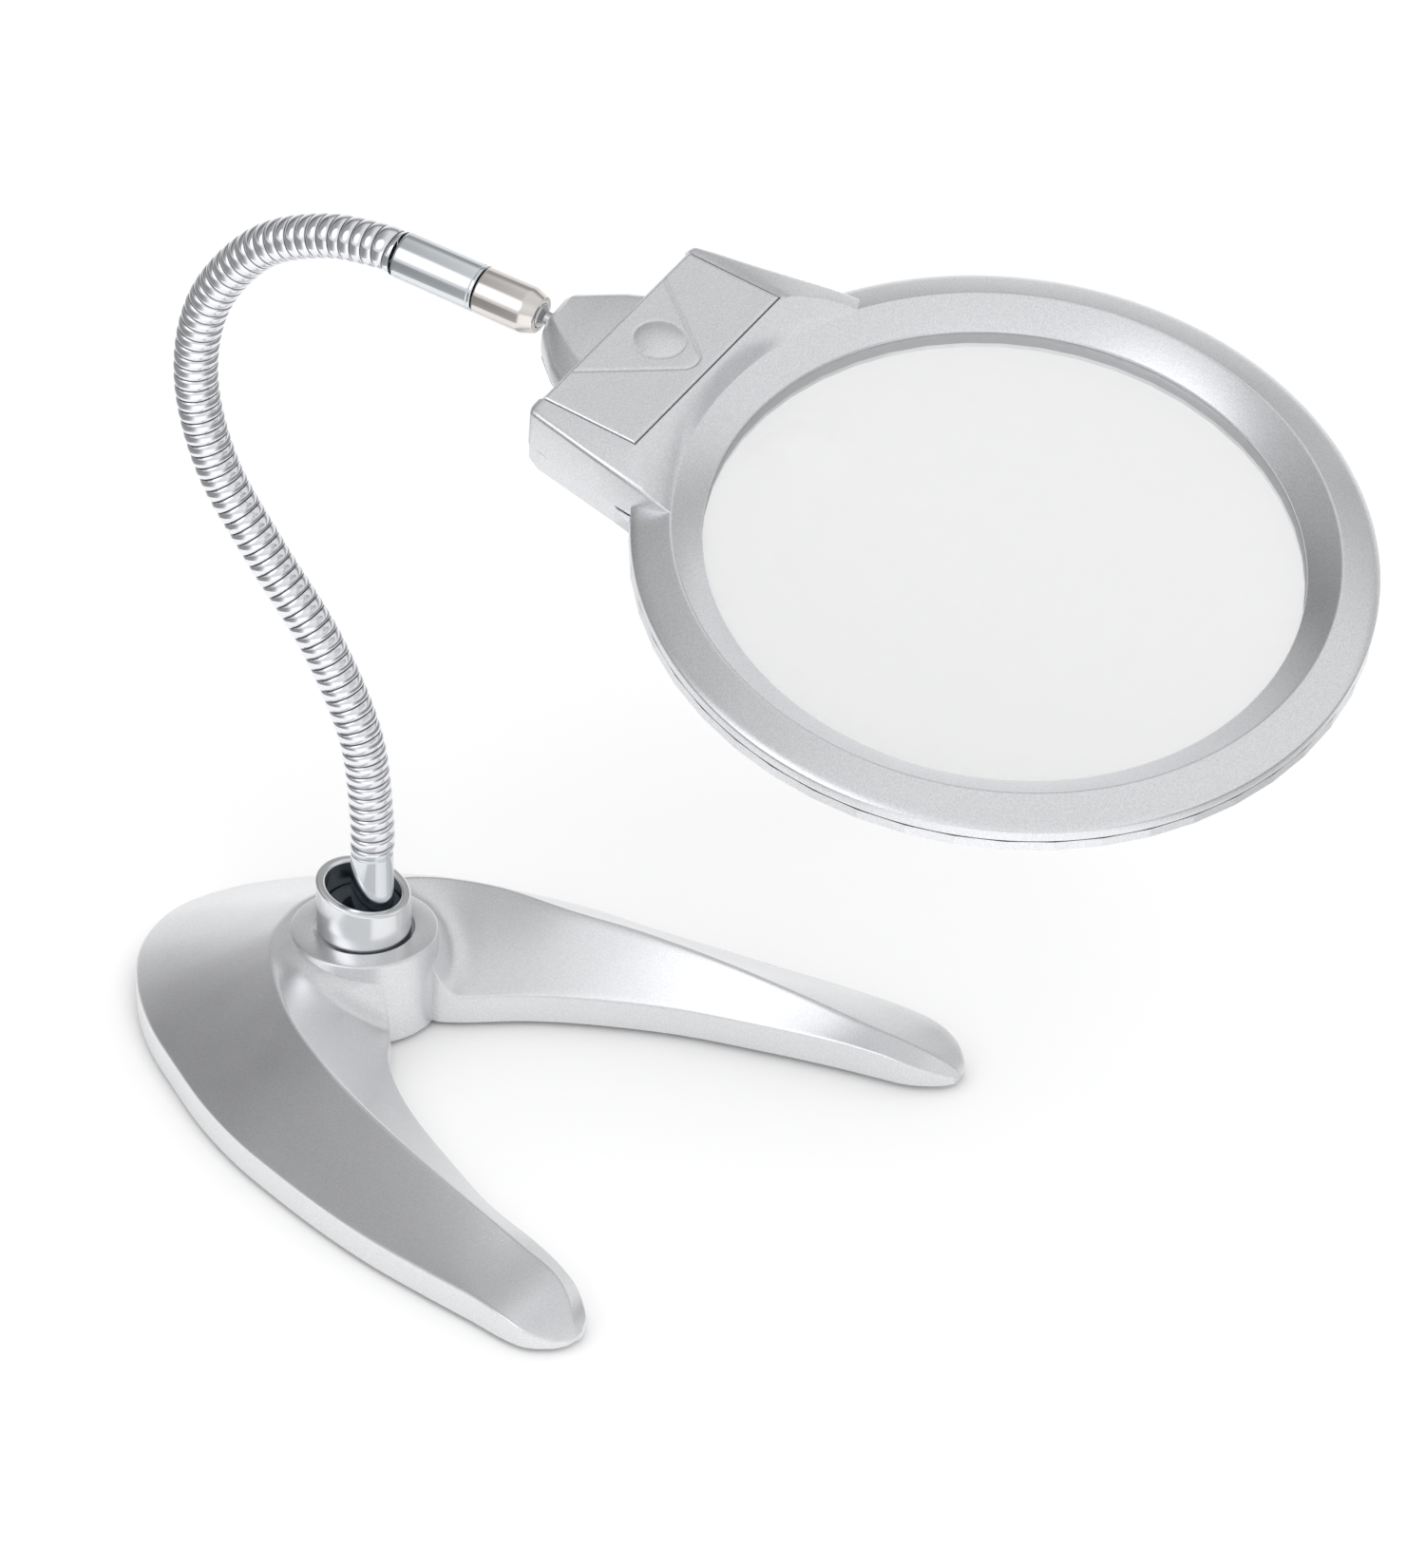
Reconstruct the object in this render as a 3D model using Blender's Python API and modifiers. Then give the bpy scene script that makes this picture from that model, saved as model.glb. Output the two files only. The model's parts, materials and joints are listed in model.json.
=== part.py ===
"""Desk magnifying lamp: a horseshoe base, a gooseneck, and a ring head with a 130 mm lens.

Frames used while building, all in metres with +Z up:
  base frame   origin under the collar, legs of the horseshoe towards -Y
  neck frame   base frame turned so that +X is the way the neck leans
  head frame   origin at the lens centre, +X away from the neck, +Z out of the top of the lens
"""

import math

import bmesh
import bpy
from mathutils import Matrix, Vector

MM = 0.001
GAP = 0.3 * MM

# Where the collar's axis stands, so that the origin is under the middle of the lamp.
COLLAR_X = -15.4 * MM
COLLAR_Y = 89.9 * MM

# Base.
UNDERSIDE = 1.5 * MM
BOSS_R = 16.5 * MM
BOSS_TOP = 22.0 * MM
BORE_FLOOR = 7.0 * MM
RECESS_R = 7.2 * MM
RECESS_TOP = 4.6 * MM

# Collar and the foot of the neck.
NECK_HEADING = math.radians(11.0)
COLLAR_R = 10.9 * MM
COLLAR_BORE_R = 8.5 * MM
RIM_HEIGHT = 32.8 * MM
RIM_SLANT = math.radians(13.0)
FERRULE_R = 4.6 * MM
FERRULE_FORWARD = 1.5 * MM
FERRULE_TOP = 40.0 * MM

# Gooseneck: points (forward, up) that its centre line runs through, in millimetres.
NECK_ROUTE = [
    (1.5, 40.0), (1.9, 51.5), (-0.2, 72.0), (-9.4, 93.0), (-23.4, 112.4), (-35.0, 131.0),
    (-39.7, 152.0), (-35.6, 172.0), (-22.5, 188.5), (-6.4, 196.2), (7.4, 197.7), (12.4, 196.9),
]
NECK_END_PITCH = math.radians(9.0)
NECK_R = 4.9 * MM
NECK_SEGMENTS = 6
NECK_POINTS = 61
SOCKET_R = NECK_R + GAP
SLEEVE_R = 5.3 * MM
SLEEVE_LENGTH = 20.0 * MM
NUT_LENGTH = 12.6 * MM
BALL_R = 3.2 * MM
BALL_FORWARD = SLEEVE_LENGTH + NUT_LENGTH + 0.6 * MM

# Head pose, and where the ball stands from the lens centre.
HEAD_PITCH = math.radians(12.05)
HEAD_ROLL = math.radians(11.8)
HEAD_REACH = 115.5 * MM
PIVOT_HEIGHT = 1.9 * MM

# Ring and lens. Heights are from the lower edge of the ring's inner slope.
OPENING_R = 63.35 * MM
RIDGE_R = 70.3 * MM
RIDGE_HEIGHT = 4.2 * MM
RING_R = 78.6 * MM
RING_TOP = 1.6 * MM
RING_BOTTOM = -5.0 * MM
PARTING = -1.6 * MM
LENS_R = 65.0 * MM
LENS_EDGE_TOP = -1.0 * MM
LENS_EDGE = 2.6 * MM
LENS_SAG = 4.2 * MM
INSET_R = 13.0 * MM
INSET_X = -47.5 * MM
INSET_RISE = 2.0 * MM
RING_STEPS = 48

# Battery box.
BOX_BACK = -98.2 * MM
PANEL_FRONT = -74.4 * MM
PANEL_HALF = 27.4 * MM
PANEL_TOP = 9.9 * MM
COVER_THICK = 1.8 * MM
BOX_FLOOR = -7.4 * MM
WALL = 1.7 * MM
CELL_R = 5.2 * MM
CELL_LENGTH = 44.5 * MM
CELL_HEIGHT = 1.5 * MM
CELL_X = (-90.8 * MM, -80.1 * MM)
LED_X = -71.4 * MM
LED_Y = 10.0 * MM
LED_R = 2.4 * MM
SWITCH_X = -89.0 * MM
SWITCH_HEIGHT = 2.2 * MM
SCREW_PLACES = [(-81.0, 28.4), (-81.0, -28.4), (46.0, 57.5), (46.0, -57.5)]


def remove_everything():
    for item in list(bpy.data.objects):
        bpy.data.objects.remove(item, do_unlink=True)


def new_collection(name):
    collection = bpy.data.collections.new(name)
    bpy.context.scene.collection.children.link(collection)
    return collection


def make_material(name, color, roughness, metallic, alpha=1.0):
    material = bpy.data.materials.new(name)
    material.use_nodes = True
    shader = material.node_tree.nodes["Principled BSDF"]
    shader.inputs["Base Color"].default_value = (*color, 1.0)
    shader.inputs["Roughness"].default_value = roughness
    shader.inputs["Metallic"].default_value = metallic
    shader.inputs["Alpha"].default_value = alpha
    return material


def as_object(name, bm, collection):
    """Turns a bmesh into an object with outward faces."""
    mesh = bpy.data.meshes.new(name)
    bmesh.ops.recalc_face_normals(bm, faces=bm.faces)
    bm.to_mesh(mesh)
    bm.free()
    item = bpy.data.objects.new(name, mesh)
    collection.objects.link(item)
    return item


def block(name, low, high, collection=None):
    """A box between two corners given in metres."""
    bm = bmesh.new()
    size = Vector(high) - Vector(low)
    middle = (Vector(high) + Vector(low)) / 2
    bmesh.ops.create_cube(bm, size=1.0, matrix=Matrix.Translation(middle) @ Matrix.Diagonal((*size, 1.0)))
    return as_object(name, bm, collection or cutters)


def rod(name, radius, start, end, sides=24, end_radius=None, collection=None):
    """A cylinder or cone from start to end."""
    start = Vector(start)
    end = Vector(end)
    turn = (end - start).to_track_quat("Z", "Y").to_matrix().to_4x4()
    bm = bmesh.new()
    bmesh.ops.create_cone(
        bm, cap_ends=True, segments=sides, radius1=radius,
        radius2=radius if end_radius is None else end_radius, depth=(end - start).length,
        matrix=Matrix.Translation((start + end) / 2) @ turn,
    )
    return as_object(name, bm, collection or cutters)


def ball(name, radius, centre, collection=None, sides=12, rings=8):
    bm = bmesh.new()
    bmesh.ops.create_uvsphere(bm, u_segments=sides, v_segments=rings, radius=radius,
                              matrix=Matrix.Translation(centre))
    return as_object(name, bm, collection or cutters)


def turned(name, profile, steps, collection=None, closed=True):
    """Turns a profile of (radius, height) points, listed down its outer side, about Z."""
    mesh = bpy.data.meshes.new(name)
    edges = [(i, i + 1) for i in range(len(profile) - 1)]
    if closed:
        edges.append((len(profile) - 1, 0))
    mesh.from_pydata([(radius, 0.0, height) for radius, height in profile], edges, [])
    item = bpy.data.objects.new(name, mesh)
    (collection or cutters).objects.link(item)
    screw = item.modifiers.new("turn", "SCREW")
    screw.steps = steps
    screw.render_steps = steps
    screw.use_merge_vertices = True
    screw.merge_threshold = 0.00001
    return item


def loft(name, sections, collection=None, cap_start=True, cap_end=True):
    """Skins closed sections that have the same number of points."""
    bm = bmesh.new()
    rings = [[bm.verts.new(point) for point in section] for section in sections]
    count = len(sections[0])
    for ring, following in zip(rings, rings[1:]):
        for i in range(count):
            j = (i + 1) % count
            bm.faces.new((ring[i], ring[j], following[j], following[i]))
    if cap_start:
        bm.faces.new(rings[0])
    if cap_end:
        bm.faces.new(rings[-1])
    bmesh.ops.triangulate(bm, faces=[face for face in bm.faces if len(face.verts) > 4])
    return as_object(name, bm, collection or cutters)


def boolean(item, tool, operation="DIFFERENCE"):
    """Cuts, joins or keeps item with tool; the tool stays as a hidden guide."""
    modifier = item.modifiers.new(operation.lower() + "_" + tool.name, "BOOLEAN")
    modifier.operation = operation
    modifier.solver = "EXACT"
    modifier.object = tool
    tool.hide_render = True
    tool.display_type = "WIRE"


def bevel(item, width, segments=1, angle=math.radians(40)):
    modifier = item.modifiers.new("edge", "BEVEL")
    modifier.width = width
    modifier.segments = segments
    modifier.limit_method = "ANGLE"
    modifier.angle_limit = angle


def finish_piece(item, frame, pivot, body, material):
    """Puts a piece drawn in a frame into the lamp, with its origin at its joint."""
    pivot = Vector(pivot)
    for cutter in [m.object for m in item.modifiers if m.type == "BOOLEAN"]:
        if not cutter.get("placed"):
            cutter.matrix_world = frame @ cutter.matrix_world
            cutter["placed"] = True
    if not any(m.type == "SCREW" for m in item.modifiers):
        item.data.transform(Matrix.Translation(-pivot))
        item.matrix_world = frame @ Matrix.Translation(pivot)
    else:
        item.matrix_world = frame
    for owner in list(item.users_collection):
        owner.objects.unlink(item)
    parts.objects.link(item)
    item.parent = body
    item.matrix_parent_inverse = body.matrix_world.inverted()
    item.data.materials.clear()
    item.data.materials.append(material)
    if item.data.polygons:
        item.data.shade_smooth()
        item.data.set_sharp_from_angle(angle=math.radians(30))
    return item


def add_body(name, location):
    """An empty on a joint's axis, which carries the pieces of one moving body."""
    empty = bpy.data.objects.new(name, None)
    empty.empty_display_size = 0.02
    empty.location = location
    parts.objects.link(empty)
    bpy.context.view_layer.update()
    return empty


def smooth_route(points, count):
    """Evenly numbered points on a Catmull-Rom curve through the given ones."""
    points = [Vector(point) for point in points]
    points = [2 * points[0] - points[1], *points, 2 * points[-1] - points[-2]]
    spans = len(points) - 3
    route = []
    for k in range(count):
        place = k * spans / (count - 1)
        i = min(int(place), spans - 1)
        t = place - i
        a, b, c, d = points[i:i + 4]
        route.append(0.5 * (2 * b + (c - a) * t + (2 * a - 5 * b + 4 * c - d) * t ** 2
                            + (3 * b - a - 3 * c + d) * t ** 3))
    return route


# ---------------------------------------------------------------- base

# The horseshoe from the front tip round the heel to the rear tip. Each row has three points as
# (forward, sideways, height) in millimetres: the outer wall's top, the crest and the inner wall's top.
BASE_ROWS = [
    ((119.6, -70.4, 2.6), (120.3, -68.2, 3.0), (120.0, -66.0, 3.2)),
    ((117.6, -73.4, 3.6), (118.4, -67.0, 4.8), (117.8, -62.2, 4.6)),
    ((113.0, -76.6, 5.6), (113.6, -63.4, 8.2), (112.4, -58.4, 6.6)),
    ((107.0, -77.2, 7.4), (107.0, -60.6, 10.2), (105.5, -55.6, 7.8)),
    ((98.0, -76.6, 8.2), (97.0, -59.2, 11.8), (95.0, -52.4, 8.2)),
    ((84.0, -76.0, 8.2), (82.0, -57.5, 14.7), (79.0, -48.4, 8.2)),
    ((68.0, -74.9, 8.2), (64.0, -54.7, 17.4), (61.0, -41.1, 8.2)),
    ((52.0, -72.6, 8.2), (46.0, -50.9, 19.6), (44.0, -33.4, 8.2)),
    ((36.0, -69.3, 8.2), (30.0, -46.1, 21.2), (32.0, -26.2, 8.2)),
    ((20.0, -65.2, 8.2), (15.0, -39.4, 22.0), (24.0, -19.4, 8.2)),
    ((5.0, -59.6, 8.2), (4.0, -32.3, 22.0), (18.8, -12.8, 8.4)),
    ((-10.0, -52.2, 8.2), (-4.5, -25.4, 22.0), (12.0, -8.6, 13.0)),
    ((-25.0, -43.9, 8.2), (-10.0, -19.8, 22.0), (3.0, -7.0, 20.0)),
    ((-38.0, -33.6, 8.2), (-14.2, -14.2, 22.0), (-3.0, -6.0, 21.6)),
    ((-47.5, -21.5, 8.2), (-16.4, -8.0, 22.0), (-5.0, -4.0, 21.6)),
    ((-51.5, -6.5, 8.2), (-17.5, -1.0, 22.0), (-6.0, 0.0, 21.6)),
    ((-47.5, 8.4, 8.2), (-16.2, 6.6, 22.0), (-5.0, 3.0, 21.6)),
    ((-38.5, 21.5, 8.2), (-13.0, 12.6, 22.0), (-3.0, 5.0, 21.6)),
    ((-27.0, 33.4, 8.2), (-9.0, 18.2, 22.0), (2.0, 6.0, 20.0)),
    ((-12.0, 43.4, 8.2), (-4.0, 23.4, 22.0), (9.0, 5.5, 13.0)),
    ((3.0, 48.9, 8.2), (3.0, 27.8, 22.0), (15.5, 4.5, 8.4)),
    ((20.0, 53.9, 8.2), (14.0, 31.9, 22.0), (21.0, 7.8, 8.2)),
    ((36.0, 56.6, 8.2), (30.0, 35.4, 21.2), (32.0, 17.8, 8.2)),
    ((52.0, 59.8, 8.2), (46.0, 40.8, 19.6), (44.0, 26.0, 8.2)),
    ((68.0, 63.0, 8.2), (64.0, 45.6, 17.4), (61.0, 35.1, 8.2)),
    ((84.0, 66.3, 8.2), (82.0, 49.6, 14.7), (79.0, 42.0, 8.2)),
    ((98.0, 68.5, 8.2), (97.0, 53.0, 11.8), (95.0, 47.4, 8.2)),
    ((107.0, 69.4, 7.4), (107.0, 55.2, 10.2), (105.5, 50.4, 7.8)),
    ((113.0, 68.8, 5.6), (113.6, 57.4, 8.2), (112.4, 52.6, 6.6)),
    ((117.6, 66.0, 3.8), (118.4, 60.6, 4.8), (117.8, 56.4, 4.6)),
    ((119.6, 63.2, 2.6), (120.3, 61.4, 3.0), (120.0, 59.4, 3.2)),
]
BASE_SECTIONS = 80


def make_base():
    floor = UNDERSIDE / MM
    columns = []
    for row in zip(*BASE_ROWS):
        columns.append(smooth_route([(sideways, -forward, height) for forward, sideways, height in row],
                                    BASE_SECTIONS))
    sections = []
    for outer, crest, inner in zip(*columns):
        ring = [
            (outer.x, outer.y, floor), tuple(outer), tuple(crest), tuple(inner), (inner.x, inner.y, floor),
        ]
        sections.append([tuple(value * MM for value in point) for point in ring])
    item = loft("base_casting", sections)
    boss = rod("boss_guide", BOSS_R, (0, 0, UNDERSIDE), (0, 0, BOSS_TOP), sides=40)
    boolean(item, boss, "UNION")
    boolean(item, rod("collar_bore", COLLAR_R + GAP, (0, 0, BORE_FLOOR), (0, 0, 40 * MM), sides=40))
    boolean(item, rod("screw_hole", 2.3 * MM, (0, 0, 0), (0, 0, 10 * MM), sides=16))
    boolean(item, rod("washer_recess", RECESS_R, (0, 0, 0), (0, 0, RECESS_TOP), sides=24))
    return item


def make_feet():
    """Thin rubber pads under the heel and the tips."""
    places = {
        "foot_heel_left": (14, 36), "foot_heel_right": (-24, 36),
        "foot_tip_left": (59, -101), "foot_tip_right": (-66, -101),
    }
    feet = []
    for name, (x, y) in places.items():
        profile = [(0, 1.2), (5.1, 1.2), (5.5, 0.8), (5.5, 0.3), (5.2, 0), (0, 0)]
        foot = turned(name, [(r * MM, z * MM) for r, z in profile], 20, closed=False)
        feet.append((foot, Vector((x * MM, y * MM, 0))))
    return feet


# ---------------------------------------------------------------- collar and neck

def make_collar():
    floor_top = 11.3 * MM
    profile = [
        (COLLAR_R, 40 * MM), (COLLAR_R, BORE_FLOOR + GAP), (2.1 * MM, BORE_FLOOR + GAP),
        (2.1 * MM, floor_top), (COLLAR_BORE_R, floor_top), (COLLAR_BORE_R, 40 * MM),
    ]
    collar = turned("collar_tube", profile, 40)
    bm = bmesh.new()
    place = Matrix.Translation((0, 0, RIM_HEIGHT)) @ Matrix.Rotation(RIM_SLANT, 4, "Y")
    bmesh.ops.create_cube(bm, size=0.04, matrix=place @ Matrix.Translation((0, 0, 0.02)))
    boolean(collar, as_object("rim_slant_cut", bm, cutters))
    return collar


def make_bush():
    bush = rod("collar_bush", COLLAR_BORE_R - GAP, (0, 0, 11.6 * MM), (0, 0, 28.4 * MM), sides=32)
    foot = (FERRULE_FORWARD, 0, 10 * MM)
    top = (FERRULE_FORWARD, 0, 32 * MM)
    boolean(bush, rod("ferrule_hole", FERRULE_R + GAP, foot, top, sides=24))
    return bush


def make_ferrule():
    start = (FERRULE_FORWARD, 0, 11.8 * MM)
    end = (FERRULE_FORWARD, 0, FERRULE_TOP - GAP)
    item = rod("neck_ferrule", FERRULE_R, start, end, sides=24)
    bevel(item, 0.4 * MM)
    return item


def make_pivot_screw():
    profile = [(0, 10.4), (1.7, 10.4), (1.7, 3.3), (4.0, 3.3), (4.0, 2.2), (3.2, 1.8), (0, 1.8)]
    return turned("pivot_screw", [(r * MM, z * MM) for r, z in profile], 16, closed=False)


def make_pivot_washer():
    profile = [(6.6, 4.3), (6.6, 3.6), (2.1, 3.6), (2.1, 4.3)]
    return turned("pivot_washer", [(r * MM, z * MM) for r, z in profile], 20)


def neck_line():
    points = [(x * MM, 0.0, z * MM) for x, z in NECK_ROUTE]
    return smooth_route(points, NECK_POINTS)


def neck_hinges(line):
    """Numbers of the centre-line points where one length of the neck bends on the next."""
    steps = [(b - a).length for a, b in zip(line, line[1:])]
    total = sum(steps)
    marks = []
    run = 0.0
    for i, step in enumerate(steps):
        if run >= total * (len(marks) + 1) / NECK_SEGMENTS and len(marks) < NECK_SEGMENTS - 1:
            marks.append(i)
        run += step
    return [0, *marks, len(line) - 1]


def make_tube(name, points, radius, roundness=3):
    """A round tube along points, turned into a mesh."""
    curve = bpy.data.curves.new(name + "_line", "CURVE")
    curve.dimensions = "3D"
    curve.bevel_depth = radius
    curve.bevel_resolution = roundness
    curve.render_resolution_u = 0
    curve.use_fill_caps = True
    spline = curve.splines.new("POLY")
    spline.points.add(len(points) - 1)
    for handle, point in zip(spline.points, points):
        handle.co = (*point, 1.0)
    line = bpy.data.objects.new(name + "_line", curve)
    cutters.objects.link(line)
    bpy.context.view_layer.update()
    graph = bpy.context.evaluated_depsgraph_get()
    mesh = bpy.data.meshes.new_from_object(line.evaluated_get(graph))
    bm = bmesh.new()
    bm.from_mesh(mesh)
    bmesh.ops.remove_doubles(bm, verts=bm.verts, dist=0.00001)
    bpy.data.objects.remove(line, do_unlink=True)
    return as_object(name, bm, cutters)


def make_neck_lengths(line, marks):
    """Lengths of gooseneck that meet at balls, so that each one can bend on the one below."""
    lengths = []
    last = NECK_SEGMENTS - 1
    for k in range(NECK_SEGMENTS):
        points = line[marks[k]:marks[k + 1] + 1]
        item = make_tube(f"gooseneck_{k + 1}", points, NECK_R)
        if k < last:
            boolean(item, ball(f"neck_ball_{k + 1}", NECK_R, points[-1]), "UNION")
        if k > 0:
            boolean(item, ball(f"neck_socket_{k + 1}", SOCKET_R, points[0]))
        lengths.append(item)
    return lengths


def make_sleeve():
    profile = [
        (0, SLEEVE_LENGTH), (SLEEVE_R - 0.3 * MM, SLEEVE_LENGTH),
        (SLEEVE_R, SLEEVE_LENGTH - 0.3 * MM), (SLEEVE_R, GAP + 0.4 * MM),
        (SLEEVE_R - 0.4 * MM, GAP), (0, GAP),
    ]
    return turned("neck_sleeve", profile, 24, closed=False)


def make_swivel_nut():
    """The ball housing: its mouth is narrower than the ball, and flares so that the stud can tilt."""
    start = SLEEVE_LENGTH + GAP
    end = SLEEVE_LENGTH + NUT_LENGTH + 2.2 * MM
    profile = [
        (0, end), (4.1 * MM, end), (SLEEVE_R, end - 3.0 * MM), (SLEEVE_R, start + 0.3 * MM),
        (SLEEVE_R - 0.3 * MM, start), (0, start),
    ]
    nut = turned("swivel_nut", profile, 24, closed=False)
    boolean(nut, ball("ball_socket", BALL_R + GAP, (0, 0, BALL_FORWARD), sides=16, rings=12))
    mouth_start = (0, 0, BALL_FORWARD + 0.6 * MM)
    mouth_end = (0, 0, BALL_FORWARD + 4.0 * MM)
    boolean(nut, rod("mouth", 2.5 * MM, mouth_start, mouth_end, sides=16, end_radius=3.9 * MM))
    return nut


# ---------------------------------------------------------------- head

def box_section(x, half_low, half_side, half_top, low, side, top):
    """A section of the battery box, in millimetres, from one lower corner round to the other."""
    return [
        (x * MM, -half_low * MM, low * MM), (x * MM, -half_side * MM, side * MM),
        (x * MM, -half_top * MM, top * MM), (x * MM, half_top * MM, top * MM),
        (x * MM, half_side * MM, side * MM), (x * MM, half_low * MM, low * MM),
    ]


def box_outside(name):
    floor = BOX_FLOOR / MM
    top = PANEL_TOP / MM - 0.5
    back = BOX_BACK / MM
    front = PANEL_FRONT / MM
    return loft(name, [
        box_section(back, 29.6, 30.8, 28.2, floor + 1.2, 7.4, top),
        box_section(back + 3, 30.4, 31.4, 28.2, floor, 7.6, top),
        box_section(front, 34.0, 35.4, 28.6, floor, 6.4, top),
        box_section(-66.5, 36.5, 39.5, 30.0, floor + 1.2, 4.2, 5.6),
        box_section(-60.0, 37.0, 41.0, 31.0, floor + 2.6, 2.6, 2.8),
    ])


def ring_outside(name):
    profile = [
        (RIDGE_R, RIDGE_HEIGHT), (RING_R - 1.0 * MM, RING_TOP + 0.2 * MM), (RING_R, RING_TOP - 0.7 * MM),
        (RING_R, RING_BOTTOM + 0.8 * MM), (RING_R - 0.8 * MM, RING_BOTTOM),
        (OPENING_R, RING_BOTTOM), (OPENING_R, 0),
    ]
    return turned(name, profile, RING_STEPS)


def ring_hollow(name):
    profile = [
        (70.3, 2.2), (76.8, 0.2), (76.8, -3.3), (67.2, -3.3), (67.2, 0.4),
    ]
    return turned(name, [(r * MM, z * MM) for r, z in profile], RING_STEPS)


def lens_seat(name):
    top = LENS_EDGE_TOP + GAP
    bottom = LENS_EDGE_TOP - LENS_EDGE - GAP
    profile = [(0, top), (LENS_R + GAP, top), (LENS_R + GAP, bottom), (0, bottom)]
    return turned(name, profile, RING_STEPS, closed=False)


def lens_window(name):
    """Clears the battery box away from the lens, with a slope up to the cover's front edge."""
    low = 9.0 * MM
    slope = 1.09
    high = 14.0 * MM
    foot = 0.5 * MM
    wall = OPENING_R + 1.0 * MM
    profile = [
        (0, high), (wall + (high - foot) * slope, high), (wall, foot), (wall, -low), (0, -low),
    ]
    return turned(name, profile, RING_STEPS, closed=False)


def stub_outside(name):
    sections = []
    for x, half, low, high, corner in ((-96.5, 17.0, -6.0, 7.6, 4.0), (-104.0, 12.5, -5.4, 7.4, 4.0),
                                       (-109.2, 7.4, -4.2, 7.2, 2.6), (-110.2, 6.2, -3.2, 6.5, 2.2)):
        sections.append([
            (x * MM, y * MM, z * MM) for y, z in (
                (-half, low + corner), (-half, high - corner), (-half + corner, high), (half - corner, high),
                (half, high - corner), (half, low + corner), (half - corner, low), (-half + corner, low))
        ])
    return loft(name, sections)


def hollow_blocks(tag):
    """The space inside the box: cells in the middle, switch and wires at the sides, lamps in front."""
    floor = BOX_FLOOR + WALL
    return [
        block(f"cell_space_{tag}", (-96.3 * MM, -25.6 * MM, floor), (-74.4 * MM, 25.6 * MM, 8.0 * MM)),
        block(f"side_space_{tag}", (-94.0 * MM, -29.2 * MM, floor), (-76.0 * MM, 29.2 * MM, 5.0 * MM)),
        block(f"lamp_space_{tag}", (-75.5 * MM, -17.0 * MM, -4.6 * MM), (-68.2 * MM, 17.0 * MM, 2.2 * MM)),
    ]


def whole_housing(name, tag):
    """Both shells in one, hollow, with the lens seat, the stud's bore and the screw posts."""
    item = box_outside(name)
    boolean(item, lens_window(f"lens_window_{tag}"))
    boolean(item, ring_outside(f"ring_body_{tag}"), "UNION")
    boolean(item, stub_outside(f"stub_{tag}"), "UNION")
    boolean(item, lens_seat(f"lens_seat_{tag}"))
    boolean(item, ring_hollow(f"ring_hollow_{tag}"))
    for space in hollow_blocks(tag):
        boolean(item, space)
    bore_start = (-113 * MM, 0, PIVOT_HEIGHT)
    boolean(item, rod(f"stud_bore_{tag}", 2.2 * MM, bore_start, (-95 * MM, 0, PIVOT_HEIGHT), sides=16))
    nut_start = (-102.6 * MM, 0, PIVOT_HEIGHT)
    boolean(item, rod(f"nut_pocket_{tag}", 4.3 * MM, nut_start, (-95 * MM, 0, PIVOT_HEIGHT), sides=16))
    for k, (x, y) in enumerate(SCREW_PLACES):
        in_box = x < 0
        floor = (BOX_FLOOR if in_box else RING_BOTTOM) / MM
        column = [Vector((x, y, z)) * MM for z in (floor + 0.7, 5.6 if in_box else 2.0, 1.4, -9.0, floor + 1.1)]
        low, high, hole_top, below, seat = column
        boolean(item, rod(f"post_{tag}_{k + 1}", 2.5 * MM, low, high, sides=12), "UNION")
        boolean(item, rod(f"shank_hole_{tag}_{k + 1}", 1.3 * MM, below, hole_top, sides=12))
        boolean(item, rod(f"head_recess_{tag}_{k + 1}", 2.6 * MM, below, seat, sides=16))
    return item


def make_top_shell():
    item = whole_housing("head_top_shell", "top")
    half = 0.13
    boolean(item, block("above_parting", (-half, -half, PARTING + GAP / 2), (half, half, 0.03)), "INTERSECT")
    opening = block("cover_opening", (-0.1, -PANEL_HALF - GAP, PANEL_TOP - COVER_THICK - GAP),
                    (PANEL_FRONT + GAP, PANEL_HALF + GAP, 0.013))
    boolean(item, opening)
    slot_low = (SWITCH_X - 4.2 * MM, 28.0 * MM, SWITCH_HEIGHT - 1.4 * MM)
    boolean(item, block("switch_slot", slot_low, (SWITCH_X + 4.2 * MM, 36 * MM, SWITCH_HEIGHT + 1.4 * MM)))
    return item


def make_bottom_shell():
    item = whole_housing("head_bottom_shell", "low")
    half = 0.13
    boolean(item, block("below_parting", (-half, -half, -0.03), (half, half, PARTING - GAP / 2)), "INTERSECT")
    for side in (-1, 1):
        y = side * LED_Y
        boolean(item, rod(f"lamp_hole_{side + 1}", LED_R + GAP, (LED_X, y, -10 * MM), (LED_X, y, -3 * MM),
                          sides=16))
    return item


def make_lens():
    arc = []
    for k in range(6):
        share = k / 5
        arc.append((LENS_R * share, LENS_SAG * (1 - share ** 2)))
    top = [(r, LENS_EDGE_TOP + z) for r, z in arc]
    low = [(r, LENS_EDGE_TOP - LENS_EDGE - z) for r, z in reversed(arc)]
    item = turned("main_lens", top + low, RING_STEPS, closed=False)
    surface = LENS_EDGE_TOP + LENS_SAG * (1 - (INSET_X / LENS_R) ** 2)
    rim = surface - 0.9 * MM
    cap = []
    for k in range(5):
        share = k / 4
        cap.append((INSET_R * share, rim + (INSET_RISE + 0.9 * MM) * (1 - share ** 2)))
    inset = turned("close_view_lens", cap + [(INSET_R, rim - 1.0 * MM), (0, rim - 1.0 * MM)], 28, closed=False)
    inset.matrix_world = Matrix.Translation((INSET_X, 0, 0))
    boolean(item, inset, "UNION")
    return item


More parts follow.
